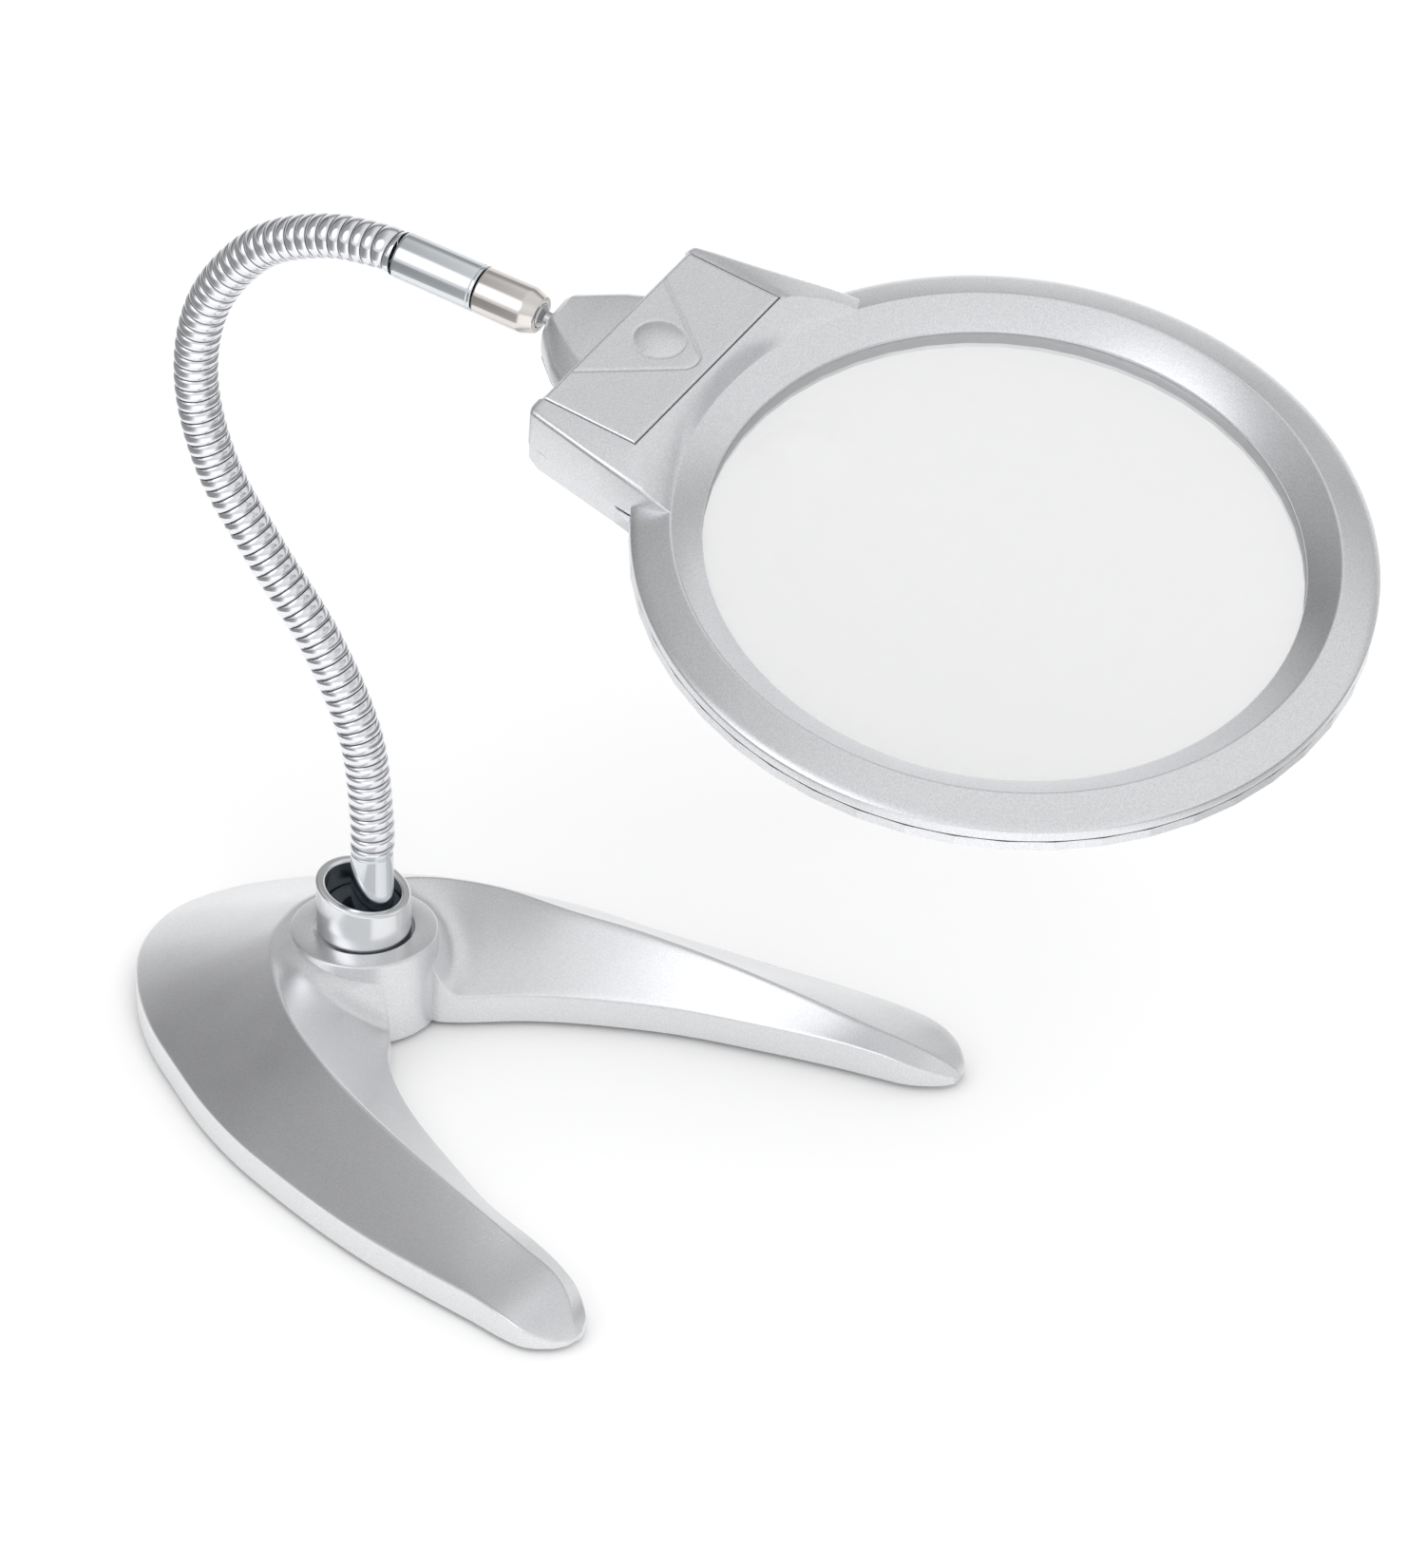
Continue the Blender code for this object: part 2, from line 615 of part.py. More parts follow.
def make_cover():
    """The battery cover, with a plain shallow dome and an engraved pointer."""
    low = (BOX_BACK + 0.2 * MM, -PANEL_HALF, PANEL_TOP - COVER_THICK)
    item = block("battery_cover", low, (PANEL_FRONT, PANEL_HALF, PANEL_TOP))
    bevel(item, 0.25 * MM)
    apex = Vector((-77.6 * MM, 0, PANEL_TOP))
    for side in (-1, 1):
        start = Vector((BOX_BACK - 2 * MM, side * 20.5 * MM, PANEL_TOP))
        along = (apex - start).normalized()
        across = Vector((-along.y, along.x, 0)) * 0.35 * MM
        down = Vector((0, 0, 0.3 * MM))
        up = Vector((0, 0, 1 * MM))
        end = apex + along * 0.3 * MM
        groove = [[point - across + up, point + across + up, point - down] for point in (start, end)]
        boolean(item, loft(f"pointer_groove_{side + 1}", groove))
    dome = turned("dome_guide", [(0, 0.7), (2.4, 0.55), (4.4, 0.15), (5.4, -0.4), (5.4, -0.9), (0, -0.9)], 20,
                  closed=False)
    dome.data.transform(Matrix.Scale(MM, 4))
    dome.matrix_world = Matrix.Translation((-87.4 * MM, 0, PANEL_TOP))
    boolean(item, dome, "UNION")
    return item


def make_cell(number):
    """A battery cell lying across the box, with its positive button."""
    x = CELL_X[number - 1]
    side = 1 if number == 1 else -1
    half = CELL_LENGTH / 2
    start = (x, -side * half, CELL_HEIGHT)
    item = rod(f"battery_cell_{number}", CELL_R, start, (x, side * (half - 1.0 * MM), CELL_HEIGHT), sides=24)
    button_start = (x, side * (half - 3 * MM), CELL_HEIGHT)
    button = rod(f"cell_button_{number}", 1.8 * MM, button_start, (x, side * half, CELL_HEIGHT), sides=12)
    boolean(item, button, "UNION")
    return item


def make_contact_spring(number):
    """A conical spring that presses on the flat end of a cell."""
    x = CELL_X[number - 1]
    side = -1 if number == 1 else 1
    turns = 2.5
    count = 20
    points = []
    for k in range(count):
        share = k / (count - 1)
        angle = 2 * math.pi * turns * share
        radius = (3.6 - 1.6 * share) * MM
        depth = side * (24.6 - 1.7 * share) * MM
        points.append((x + radius * math.cos(angle), depth, CELL_HEIGHT + radius * math.sin(angle)))
    return make_tube(f"contact_spring_{number}", points, 0.25 * MM, roundness=1)


def make_contact_plate(name, side):
    low = (CELL_X[0] - 4.6 * MM, min(side * 24.95, side * 25.35) * MM, CELL_HEIGHT - 4.2 * MM)
    high = (CELL_X[1] + 4.4 * MM, max(side * 24.95, side * 25.35) * MM, CELL_HEIGHT + 4.2 * MM)
    return block(name, low, high)


def make_tray():
    low = (-96.0 * MM, -21.5 * MM, BOX_FLOOR + WALL + GAP)
    item = block("cell_cradle", low, (-75.2 * MM, 21.5 * MM, -1.4 * MM))
    for k, x in enumerate(CELL_X):
        start = (x, -30 * MM, CELL_HEIGHT)
        boolean(item, rod(f"cradle_trough_{k + 1}", CELL_R + GAP, start, (x, 30 * MM, CELL_HEIGHT), sides=24))
    return item


def make_lamp_board():
    return block("lamp_board", (-74.4 * MM, -16.4 * MM, 0.4 * MM), (-68.6 * MM, 16.4 * MM, 1.6 * MM))


def make_led(name, side):
    profile = [
        (0, 0.1), (2.35, 0.1), (2.35, -6.0), (2.1, -7.0), (1.3, -7.9), (0, -8.2),
    ]
    item = turned(name, [(r * MM, z * MM) for r, z in profile], 16, closed=False)
    return item, Vector((LED_X, side * LED_Y, 0))


def make_switch_body():
    low = (SWITCH_X - 4.5 * MM, 25.9 * MM, SWITCH_HEIGHT - 2.2 * MM)
    return block("switch_body", low, (SWITCH_X + 4.5 * MM, 28.6 * MM, SWITCH_HEIGHT + 2.2 * MM))


def make_switch_slider():
    low = (SWITCH_X - 3.4 * MM, 28.9 * MM, SWITCH_HEIGHT - 1.1 * MM)
    high = (SWITCH_X - 0.6 * MM, 34.4 * MM, SWITCH_HEIGHT + 1.1 * MM)
    item = block("switch_slider", low, high)
    bevel(item, 0.3 * MM)
    return item


def make_shell_screw(number):
    x, y = SCREW_PLACES[number - 1]
    floor = (BOX_FLOOR if x < 0 else RING_BOTTOM) / MM
    profile = [
        (0, 1.1), (1.0, 1.1), (1.0, floor + 0.9), (2.3, floor + 0.9), (2.3, floor + 0.3), (0, floor + 0.3),
    ]
    item = turned(f"shell_screw_{number}", [(r * MM, z * MM) for r, z in profile], 12, closed=False)
    return item, Vector((x * MM, y * MM, 0))


def make_ball_stud():
    """The stud in the head: a ball in the nut, a stem through the stub and a threaded end."""
    outline = [(0.0, BALL_R / MM)]
    for k in range(1, 7):
        angle = math.radians(90 - k * 25)
        outline.append((BALL_R / MM * math.cos(angle), BALL_R / MM * math.sin(angle)))
    outline += [(1.6, -4.6), (1.9, -5.0), (1.9, -15.8), (1.6, -16.2), (0.0, -16.2)]
    return turned("ball_stud", [(r * MM, z * MM) for r, z in outline], 16, closed=False)


def make_stud_nut():
    profile = [(3.9, 1.4), (3.9, -1.4), (2.2, -1.4), (2.2, 1.4)]
    return turned("stud_nut", [(r * MM, z * MM) for r, z in profile], 6)


def along_x(place):
    """A frame whose Z runs back along -X, for turned pieces that lie in the head's axis."""
    return Matrix.Translation(place) @ Matrix.Rotation(math.radians(-90), 4, "Y")


def main():
    paint = make_material("silver_paint", (0.55, 0.56, 0.58), 0.38, 0.75)
    chrome = make_material("chrome", (0.80, 0.81, 0.83), 0.12, 1.0)
    nickel = make_material("nickel", (0.72, 0.69, 0.66), 0.22, 1.0)
    black = make_material("black_bush", (0.03, 0.035, 0.045), 0.5, 0.0)
    pad = make_material("clear_pad", (0.82, 0.83, 0.82), 0.5, 0.0)
    glass = make_material("lens_acrylic", (0.95, 0.96, 0.97), 0.03, 0.0, alpha=0.35)
    steel = make_material("steel", (0.55, 0.55, 0.56), 0.35, 1.0)
    cell = make_material("cell_label", (0.05, 0.09, 0.16), 0.4, 0.2)
    board = make_material("board_green", (0.04, 0.22, 0.10), 0.5, 0.0)
    led = make_material("led_clear", (0.92, 0.94, 0.98), 0.1, 0.0)
    grey = make_material("dark_plastic", (0.08, 0.08, 0.09), 0.45, 0.0)

    base_frame = Matrix.Translation((COLLAR_X, COLLAR_Y, 0))
    neck_frame = base_frame @ Matrix.Rotation(NECK_HEADING - math.pi / 2, 4, "Z")
    origin = Vector((0, 0, 0))

    base = add_body("body_base", base_frame.translation)
    finish_piece(make_base(), base_frame, origin, base, paint)
    for foot, place in make_feet():
        finish_piece(foot, base_frame @ Matrix.Translation(place), origin, base, pad)

    line = neck_line()
    marks = neck_hinges(line)
    lowest = add_body("body_neck_1", base_frame.translation)
    finish_piece(make_collar(), neck_frame, origin, lowest, chrome)
    finish_piece(make_bush(), neck_frame, origin, lowest, black)
    finish_piece(make_ferrule(), neck_frame, origin, lowest, chrome)
    finish_piece(make_pivot_screw(), neck_frame, origin, lowest, steel)
    finish_piece(make_pivot_washer(), neck_frame, origin, lowest, steel)
    bodies = [lowest]
    for k, item in enumerate(make_neck_lengths(line, marks)):
        hinge = line[marks[k]] if k else origin
        if k:
            bodies.append(add_body(f"body_neck_{k + 1}", neck_frame @ hinge))
        finish_piece(item, neck_frame, hinge, bodies[-1], chrome)

    end_frame = neck_frame @ Matrix.Translation(line[-1]) @ Matrix.Rotation(
        math.pi / 2 + NECK_END_PITCH, 4, "Y")
    ball_centre = end_frame @ Vector((0, 0, BALL_FORWARD))
    swivel = add_body("body_swivel", ball_centre)
    finish_piece(make_sleeve(), end_frame, origin, bodies[-1], chrome)
    finish_piece(make_swivel_nut(), end_frame, origin, swivel, nickel)

    head_turn = Matrix.Rotation(NECK_HEADING - math.pi / 2, 4, "Z") @ Matrix.Rotation(
        HEAD_PITCH, 4, "Y") @ Matrix.Rotation(HEAD_ROLL, 4, "X")
    lens_centre = Matrix.Translation((HEAD_REACH, 0, -PIVOT_HEIGHT))
    head_frame = Matrix.Translation(ball_centre) @ head_turn @ lens_centre
    ball_local = Vector((-HEAD_REACH, 0, PIVOT_HEIGHT))
    head = add_body("body_head", ball_centre)

    finish_piece(make_top_shell(), head_frame, ball_local, head, paint)
    finish_piece(make_bottom_shell(), head_frame, ball_local, head, paint)
    finish_piece(make_lens(), head_frame, ball_local, head, glass)
    finish_piece(make_ball_stud(), head_frame @ along_x(ball_local), origin, head, steel)
    finish_piece(make_stud_nut(), head_frame @ along_x((-100.8 * MM, 0, PIVOT_HEIGHT)), origin, head, steel)
    finish_piece(make_tray(), head_frame, ball_local, head, grey)
    finish_piece(make_lamp_board(), head_frame, ball_local, head, board)
    finish_piece(make_switch_body(), head_frame, ball_local, head, steel)
    for number in (1, 2):
        finish_piece(make_cell(number), head_frame, ball_local, head, cell)
        finish_piece(make_contact_spring(number), head_frame, ball_local, head, steel)
    finish_piece(make_contact_plate("contact_plate_left", 1), head_frame, ball_local, head, steel)
    finish_piece(make_contact_plate("contact_plate_right", -1), head_frame, ball_local, head, steel)
    for name, side in (("led_left", 1), ("led_right", -1)):
        item, place = make_led(name, side)
        finish_piece(item, head_frame @ Matrix.Translation(place), origin, head, led)
    for number in range(1, len(SCREW_PLACES) + 1):
        item, place = make_shell_screw(number)
        finish_piece(item, head_frame @ Matrix.Translation(place), origin, head, steel)

    cover = add_body("body_cover", head_frame @ Vector((-87 * MM, 0, PANEL_TOP)))
    finish_piece(make_cover(), head_frame, (-87 * MM, 0, PANEL_TOP), cover, paint)
    slider = add_body("body_switch", head_frame @ Vector((SWITCH_X, 31 * MM, SWITCH_HEIGHT)))
    finish_piece(make_switch_slider(), head_frame, (SWITCH_X, 31 * MM, SWITCH_HEIGHT), slider, grey)


remove_everything()
parts = new_collection("magnifying_lamp")
cutters = new_collection("guides")
main()
bpy.context.view_layer.update()
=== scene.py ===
"""Looks for the desk magnifying lamp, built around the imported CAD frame."""

import json
import math

import bmesh
import bpy
from mathutils import Matrix, Vector


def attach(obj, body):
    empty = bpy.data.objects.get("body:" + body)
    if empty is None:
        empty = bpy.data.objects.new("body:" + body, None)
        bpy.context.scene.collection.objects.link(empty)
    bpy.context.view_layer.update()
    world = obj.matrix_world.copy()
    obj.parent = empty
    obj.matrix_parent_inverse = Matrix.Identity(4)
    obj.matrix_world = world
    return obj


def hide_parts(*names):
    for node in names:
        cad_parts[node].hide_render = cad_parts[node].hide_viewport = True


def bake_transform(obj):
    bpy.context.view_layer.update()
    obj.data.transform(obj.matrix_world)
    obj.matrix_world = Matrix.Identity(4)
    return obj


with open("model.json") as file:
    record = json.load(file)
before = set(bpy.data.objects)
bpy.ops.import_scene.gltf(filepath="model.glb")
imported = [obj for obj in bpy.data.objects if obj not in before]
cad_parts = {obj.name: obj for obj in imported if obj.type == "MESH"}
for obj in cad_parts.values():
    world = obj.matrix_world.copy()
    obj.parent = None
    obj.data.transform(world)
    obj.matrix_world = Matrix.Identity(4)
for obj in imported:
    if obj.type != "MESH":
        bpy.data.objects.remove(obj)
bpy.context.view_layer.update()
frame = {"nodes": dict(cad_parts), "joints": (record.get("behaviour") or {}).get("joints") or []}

MM = 0.001
nodes = frame["nodes"]
place = {joint["name"]: Vector(joint["pos_m"]) for joint in frame["joints"] if "pos_m" in joint}

# ---------------------------------------------------------------- frames

HEADING = math.radians(11.0)
HEAD_PITCH = math.radians(12.05)
HEAD_ROLL = math.radians(11.8)
COLLAR = place["neck_turn"]
BALL = place["head_tilt"]
PIVOT_HEIGHT = 1.9
# The ball stands this far behind the middle of the ring.
BALL_REACH = 115.5

BASE_FRAME = Matrix.Translation(COLLAR) @ Matrix.Scale(MM, 4)
NECK_TURN = Matrix.Rotation(HEADING - math.pi / 2, 4, "Z")
NECK_FRAME = Matrix.Translation(COLLAR) @ NECK_TURN @ Matrix.Scale(MM, 4)
HEAD_FRAME = (
    Matrix.Translation(BALL) @ NECK_TURN @ Matrix.Rotation(HEAD_PITCH, 4, "Y")
    @ Matrix.Rotation(HEAD_ROLL, 4, "X") @ Matrix.Scale(MM, 4)
    @ Matrix.Translation((BALL_REACH, 0, -PIVOT_HEIGHT))
)
NECK_END_PITCH = math.radians(9.0)
# The radius at which a solid lathe profile starts, in place of zero.
AXIS_R = 0.01

# ---------------------------------------------------------------- materials


def new_material(name):
    material = bpy.data.materials.new(name)
    material.use_nodes = True
    tree = material.node_tree
    return material, tree, tree.nodes["Principled BSDF"]


def noise(tree, scale, detail=2.0, roughness=0.5):
    node = tree.nodes.new("ShaderNodeTexNoise")
    node.inputs["Scale"].default_value = scale
    node.inputs["Detail"].default_value = detail
    node.inputs["Roughness"].default_value = roughness
    where = tree.nodes.new("ShaderNodeTexCoord")
    tree.links.new(where.outputs["Object"], node.inputs["Vector"])
    return node


def ramp(tree, source, stops):
    node = tree.nodes.new("ShaderNodeValToRGB")
    tree.links.new(source, node.inputs["Fac"])
    elements = node.color_ramp.elements
    while len(elements) < len(stops):
        elements.new(0.5)
    for element, (position, value) in zip(elements, stops):
        element.position = position
        element.color = (*value, 1.0) if isinstance(value, tuple) else (value, value, value, 1.0)
    return node.outputs["Color"]


def bump(tree, shader, source, strength, distance):
    node = tree.nodes.new("ShaderNodeBump")
    node.inputs["Strength"].default_value = strength
    node.inputs["Distance"].default_value = distance
    tree.links.new(source, node.inputs["Height"])
    tree.links.new(node.outputs["Normal"], shader.inputs["Normal"])


def silver_paint(name, color, rough, metallic, sparkle=0.10, grain=0.00004):
    """Silver lacquer: tiny flakes that catch light one by one, over a slightly uneven film."""
    material, tree, shader = new_material(name)
    shader.inputs["Metallic"].default_value = metallic
    shader.inputs["Coat Weight"].default_value = 0.15
    shader.inputs["Coat Roughness"].default_value = 0.35
    flakes = noise(tree, 2600.0, 1.0)
    low = tuple(value * (1.0 - sparkle) for value in color)
    high = tuple(min(value * (1.0 + sparkle), 1.0) for value in color)
    tint = ramp(tree, flakes.outputs["Fac"], [(0.36, low), (0.64, high)])
    tree.links.new(tint, shader.inputs["Base Color"])
    cloud = noise(tree, 60.0, 3.0)
    gloss = ramp(tree, cloud.outputs["Fac"], [(0.3, rough - 0.03), (0.7, rough + 0.03)])
    tree.links.new(gloss, shader.inputs["Roughness"])
    bump(tree, shader, flakes.outputs["Fac"], 0.15, grain)
    return material


def plated(name, color, rough, spread=0.03, scale=220.0, grain=0.0):
    """Polished plating, with faint handling marks in its gloss."""
    material, tree, shader = new_material(name)
    shader.inputs["Metallic"].default_value = 1.0
    haze = noise(tree, scale, 4.0, 0.6)
    tree.links.new(
        ramp(tree, haze.outputs["Fac"], [(0.3, rough), (0.75, rough + spread)]), shader.inputs["Roughness"])
    tint = noise(tree, 45.0, 2.0)
    low = tuple(value * 0.96 for value in color)
    tree.links.new(ramp(tree, tint.outputs["Fac"], [(0.3, low), (0.7, color)]), shader.inputs["Base Color"])
    if grain:
        bump(tree, shader, haze.outputs["Fac"], 0.3, grain)
    return material


def moulded(name, color, rough, scale=900.0, grain=0.00003, spread=0.08):
    """Plastic, rubber or solder mask with a fine moulded grain."""
    material, tree, shader = new_material(name)
    texture = noise(tree, scale, 3.0)
    low = tuple(value * (1.0 - spread) for value in color)
    high = tuple(min(value * (1.0 + spread), 1.0) for value in color)
    tint = ramp(tree, texture.outputs["Fac"], [(0.35, low), (0.65, high)])
    tree.links.new(tint, shader.inputs["Base Color"])
    shader.inputs["Roughness"].default_value = rough
    bump(tree, shader, texture.outputs["Fac"], 0.3, grain)
    return material


def clear_acrylic(name):
    """A clear moulded lens: mostly see-through, with a faint grey body and a polished surface."""
    material, tree, shader = new_material(name)
    shader.inputs["Metallic"].default_value = 0.0
    shader.inputs["IOR"].default_value = 1.49
    shader.inputs["Specular IOR Level"].default_value = 0.5
    film = noise(tree, 8.0, 1.0)
    tree.links.new(ramp(tree, film.outputs["Fac"], [(0.2, 0.02), (0.8, 0.06)]), shader.inputs["Roughness"])
    shader.inputs["Base Color"].default_value = (0.62, 0.62, 0.63, 1.0)
    shader.inputs["Alpha"].default_value = 0.32
    return material


cast_paint = silver_paint("cast_silver_paint", (0.78, 0.785, 0.80), 0.30, 0.92, sparkle=0.05)
shell_paint = silver_paint("shell_silver_paint", (0.78, 0.79, 0.81), 0.30, 0.92, sparkle=0.07)
chrome = plated("neck_chrome", (0.86, 0.87, 0.90), 0.07)
# Painted shade: a dark plating for the coil's grooves, standing in for the shade between the wires.
groove_painted_shade = plated("coil_groove_painted_shade", (0.30, 0.31, 0.34), 0.30)
sleeve_chrome = plated("sleeve_chrome", (0.76, 0.79, 0.82), 0.12, grain=0.00001)
collar_metal = plated("collar_silver", (0.84, 0.855, 0.87), 0.17, spread=0.05)
nut_nickel = plated("nut_nickel", (0.78, 0.745, 0.72), 0.13)
plain_steel = plated("plain_steel", (0.58, 0.58, 0.59), 0.28)
bush_black = moulded("bush_black", (0.035, 0.048, 0.06), 0.5)
dark_plastic = moulded("dark_plastic", (0.06, 0.06, 0.065), 0.45)
pad_rubber = moulded("pad_rubber", (0.80, 0.81, 0.80), 0.45)
cell_sleeve = moulded("cell_sleeve", (0.05, 0.09, 0.16), 0.35)
board_mask = moulded("board_mask", (0.03, 0.20, 0.09), 0.4)
lamp_epoxy = moulded("lamp_epoxy", (0.88, 0.90, 0.93), 0.12, spread=0.02)
lens_clear = clear_acrylic("lens_clear")

# ---------------------------------------------------------------- mesh helpers


def mesh_object(name, bm, frame_matrix, *materials, smooth_angle=35.0):
    """Turns a bmesh drawn in millimetres in one of the frames into an object in metres."""
    bmesh.ops.transform(bm, matrix=frame_matrix, verts=bm.verts)
    bmesh.ops.recalc_face_normals(bm, faces=bm.faces)
    mesh = bpy.data.meshes.new(name)
    bm.to_mesh(mesh)
    bm.free()
    piece = bpy.data.objects.new(name, mesh)
    bpy.context.scene.collection.objects.link(piece)
    for material in materials:
        mesh.materials.append(material)
    mesh.shade_smooth()
    mesh.set_sharp_from_angle(angle=math.radians(smooth_angle))
    return piece


def skin(bm, sections, loop=False):
    """Joins equal closed sections of points with faces and returns the rings of vertices."""
    rings = [[bm.verts.new(point) for point in section] for section in sections]
    pairs = list(zip(rings, rings[1:] + rings[:1] if loop else rings[1:]))
    count = len(rings[0])
    for ring, following in pairs:
        for i in range(count):
            j = (i + 1) % count
            bm.faces.new((ring[i], ring[j], following[j], following[i]))
    return rings


def capped(name, sections, frame_matrix, *materials, smooth_angle=35.0):
    """A skin over the sections with both ends closed."""
    bm = bmesh.new()
    rings = skin(bm, sections)
    bm.faces.new(rings[0])
    bm.faces.new(rings[-1])
    return mesh_object(name, bm, frame_matrix, *materials, smooth_angle=smooth_angle)


def round_corners(points, radii, steps=4, closed=False):
    """Replaces each corner of a line of points by a small curve of the given reach."""
    result = []
    count = len(points)
    for i, (point, radius) in enumerate(zip(points, radii)):
        point = Vector(point)
        if radius <= 0 or (not closed and i in (0, count - 1)):
            result.append(point)
            continue
        before = Vector(points[i - 1])
        after = Vector(points[(i + 1) % count])
        start = point + (before - point).normalized() * min(radius, (before - point).length * 0.48)
        end = point + (after - point).normalized() * min(radius, (after - point).length * 0.48)
        for k in range(steps + 1):
            t = k / steps
            result.append(start * (1 - t) ** 2 + point * 2 * t * (1 - t) + end * t ** 2)
    return result


def lathe(name, profile, radii, frame_matrix, *materials, segments=96, steps=3, lift=None):
    """Turns a closed (radius, height) profile about Z; lift may raise a point by its place."""
    rounded = round_corners([(r, 0.0, z) for r, z in profile], radii, steps, closed=True)
    bm = bmesh.new()
    sections = []
    for k in range(segments):
        angle = 2 * math.pi * k / segments
        section = []
        for point in rounded:
            x = point.x * math.cos(angle)
            y = point.x * math.sin(angle)
            section.append((x, y, point.z + (lift(x, y, point.z) if lift else 0.0)))
        sections.append(section)
    skin(bm, sections, loop=True)
    bmesh.ops.remove_doubles(bm, verts=bm.verts, dist=0.0001)
    return mesh_object(name, bm, frame_matrix, *materials)


def catmull(points, count):
    """Points at even numbers along a Catmull-Rom curve."""
    points = [Vector(point) for point in points]
    points = [2 * points[0] - points[1], *points, 2 * points[-1] - points[-2]]
    spans = len(points) - 3
    route = []
    for k in range(count):
        where = k * spans / (count - 1)
        i = min(int(where), spans - 1)
        t = where - i
        a, b, c, d = points[i:i + 4]
        route.append(0.5 * (2 * b + (c - a) * t + (2 * a - 5 * b + 4 * c - d) * t ** 2
                            + (3 * b - a - 3 * c + d) * t ** 3))
    return route


# ---------------------------------------------------------------- base

# The horseshoe from the front tip round the heel to the rear tip. Each row has three points as
# (forward, sideways, height): the outer wall's top, the crest and the inner wall's top.
BASE_ROWS = [
    ((119.6, -70.4, 2.6), (120.3, -68.2, 3.0), (120.0, -66.0, 3.2)),
    ((117.6, -73.4, 3.6), (118.4, -67.0, 4.8), (117.8, -62.2, 4.6)),
    ((113.0, -76.6, 5.6), (113.6, -63.4, 8.2), (112.4, -58.4, 6.6)),
    ((107.0, -77.2, 7.4), (107.0, -60.6, 10.2), (105.5, -55.6, 7.8)),
    ((98.0, -76.6, 8.2), (97.0, -59.2, 11.8), (95.0, -52.4, 8.2)),
    ((84.0, -76.0, 8.2), (82.0, -57.5, 14.7), (79.0, -48.4, 8.2)),
    ((68.0, -74.9, 8.2), (64.0, -54.7, 17.4), (61.0, -41.1, 8.2)),
    ((52.0, -72.6, 8.2), (46.0, -50.9, 19.6), (44.0, -33.4, 8.2)),
    ((36.0, -69.3, 8.2), (30.0, -46.1, 21.2), (32.0, -26.2, 8.2)),
    ((20.0, -65.2, 8.2), (15.0, -39.4, 22.0), (24.0, -19.4, 8.2)),
    ((5.0, -59.6, 8.2), (4.0, -32.3, 22.0), (18.8, -12.8, 8.4)),
    ((-10.0, -52.2, 8.2), (-4.5, -25.4, 22.0), (12.0, -8.6, 13.0)),
    ((-25.0, -43.9, 8.2), (-10.0, -19.8, 22.0), (3.0, -7.0, 20.0)),
    ((-38.0, -33.6, 8.2), (-14.2, -14.2, 22.0), (-3.0, -6.0, 21.6)),
    ((-47.5, -21.5, 8.2), (-16.4, -8.0, 22.0), (-5.0, -4.0, 21.6)),
    ((-51.5, -6.5, 8.2), (-17.5, -1.0, 22.0), (-6.0, 0.0, 21.6)),
    ((-47.5, 8.4, 8.2), (-16.2, 6.6, 22.0), (-5.0, 3.0, 21.6)),
    ((-38.5, 21.5, 8.2), (-13.0, 12.6, 22.0), (-3.0, 5.0, 21.6)),
    ((-27.0, 33.4, 8.2), (-9.0, 18.2, 22.0), (2.0, 6.0, 20.0)),
    ((-12.0, 43.4, 8.2), (-4.0, 23.4, 22.0), (9.0, 5.5, 13.0)),
    ((3.0, 48.9, 8.2), (3.0, 27.8, 22.0), (15.5, 4.5, 8.4)),
    ((20.0, 53.9, 8.2), (14.0, 31.9, 22.0), (21.0, 7.8, 8.2)),
    ((36.0, 56.6, 8.2), (30.0, 35.4, 21.2), (32.0, 17.8, 8.2)),
    ((52.0, 59.8, 8.2), (46.0, 40.8, 19.6), (44.0, 26.0, 8.2)),
    ((68.0, 63.0, 8.2), (64.0, 45.6, 17.4), (61.0, 35.1, 8.2)),
    ((84.0, 66.3, 8.2), (82.0, 49.6, 14.7), (79.0, 42.0, 8.2)),
    ((98.0, 68.5, 8.2), (97.0, 53.0, 11.8), (95.0, 47.4, 8.2)),
    ((107.0, 69.4, 7.4), (107.0, 55.2, 10.2), (105.5, 50.4, 7.8)),
    ((113.0, 68.8, 5.6), (113.6, 57.4, 8.2), (112.4, 52.6, 6.6)),
    ((117.6, 66.0, 3.8), (118.4, 60.6, 4.8), (117.8, 56.4, 4.6)),
    ((119.6, 63.2, 2.6), (120.3, 61.4, 3.0), (120.0, 59.4, 3.2)),
]
BASE_SECTIONS = 240
BASE_FLOOR = 1.5
BOSS_R = 16.5
BOSS_BORE_R = 11.3
BOSS_TOP = 22.0
# Points laid across the outer and the inner slope of the roof.
OUTER_STEPS = 4
INNER_STEPS = 9
# The hollow curve round the boss: how far out it starts, how much of the height it climbs, where it stops.
COVE = 6.5
COVE_RISE = 0.62
COVE_BELOW_TOP = 0.8
COVE_SEARCH = 8.0
WALL_ROUND = 0.7
CREST_ROUND = 1.0
# The points of a section that belong to the outer wall and its rounded top.
WALL_POINTS = 6


def cove_height(x, y, z):
    """Lifts the casting's skin in a hollow curve against the boss."""
    out = max(math.hypot(x, y) - BOSS_R, 0.0) / COVE
    return z + max(BOSS_TOP - COVE_BELOW_TOP - z, 0.0) * COVE_RISE * max(1.0 - out, 0.0) ** 2


def facet(start, end, steps):
    """The points between two ends of a slope."""
    return [start.lerp(end, k / steps) for k in range(1, steps)]


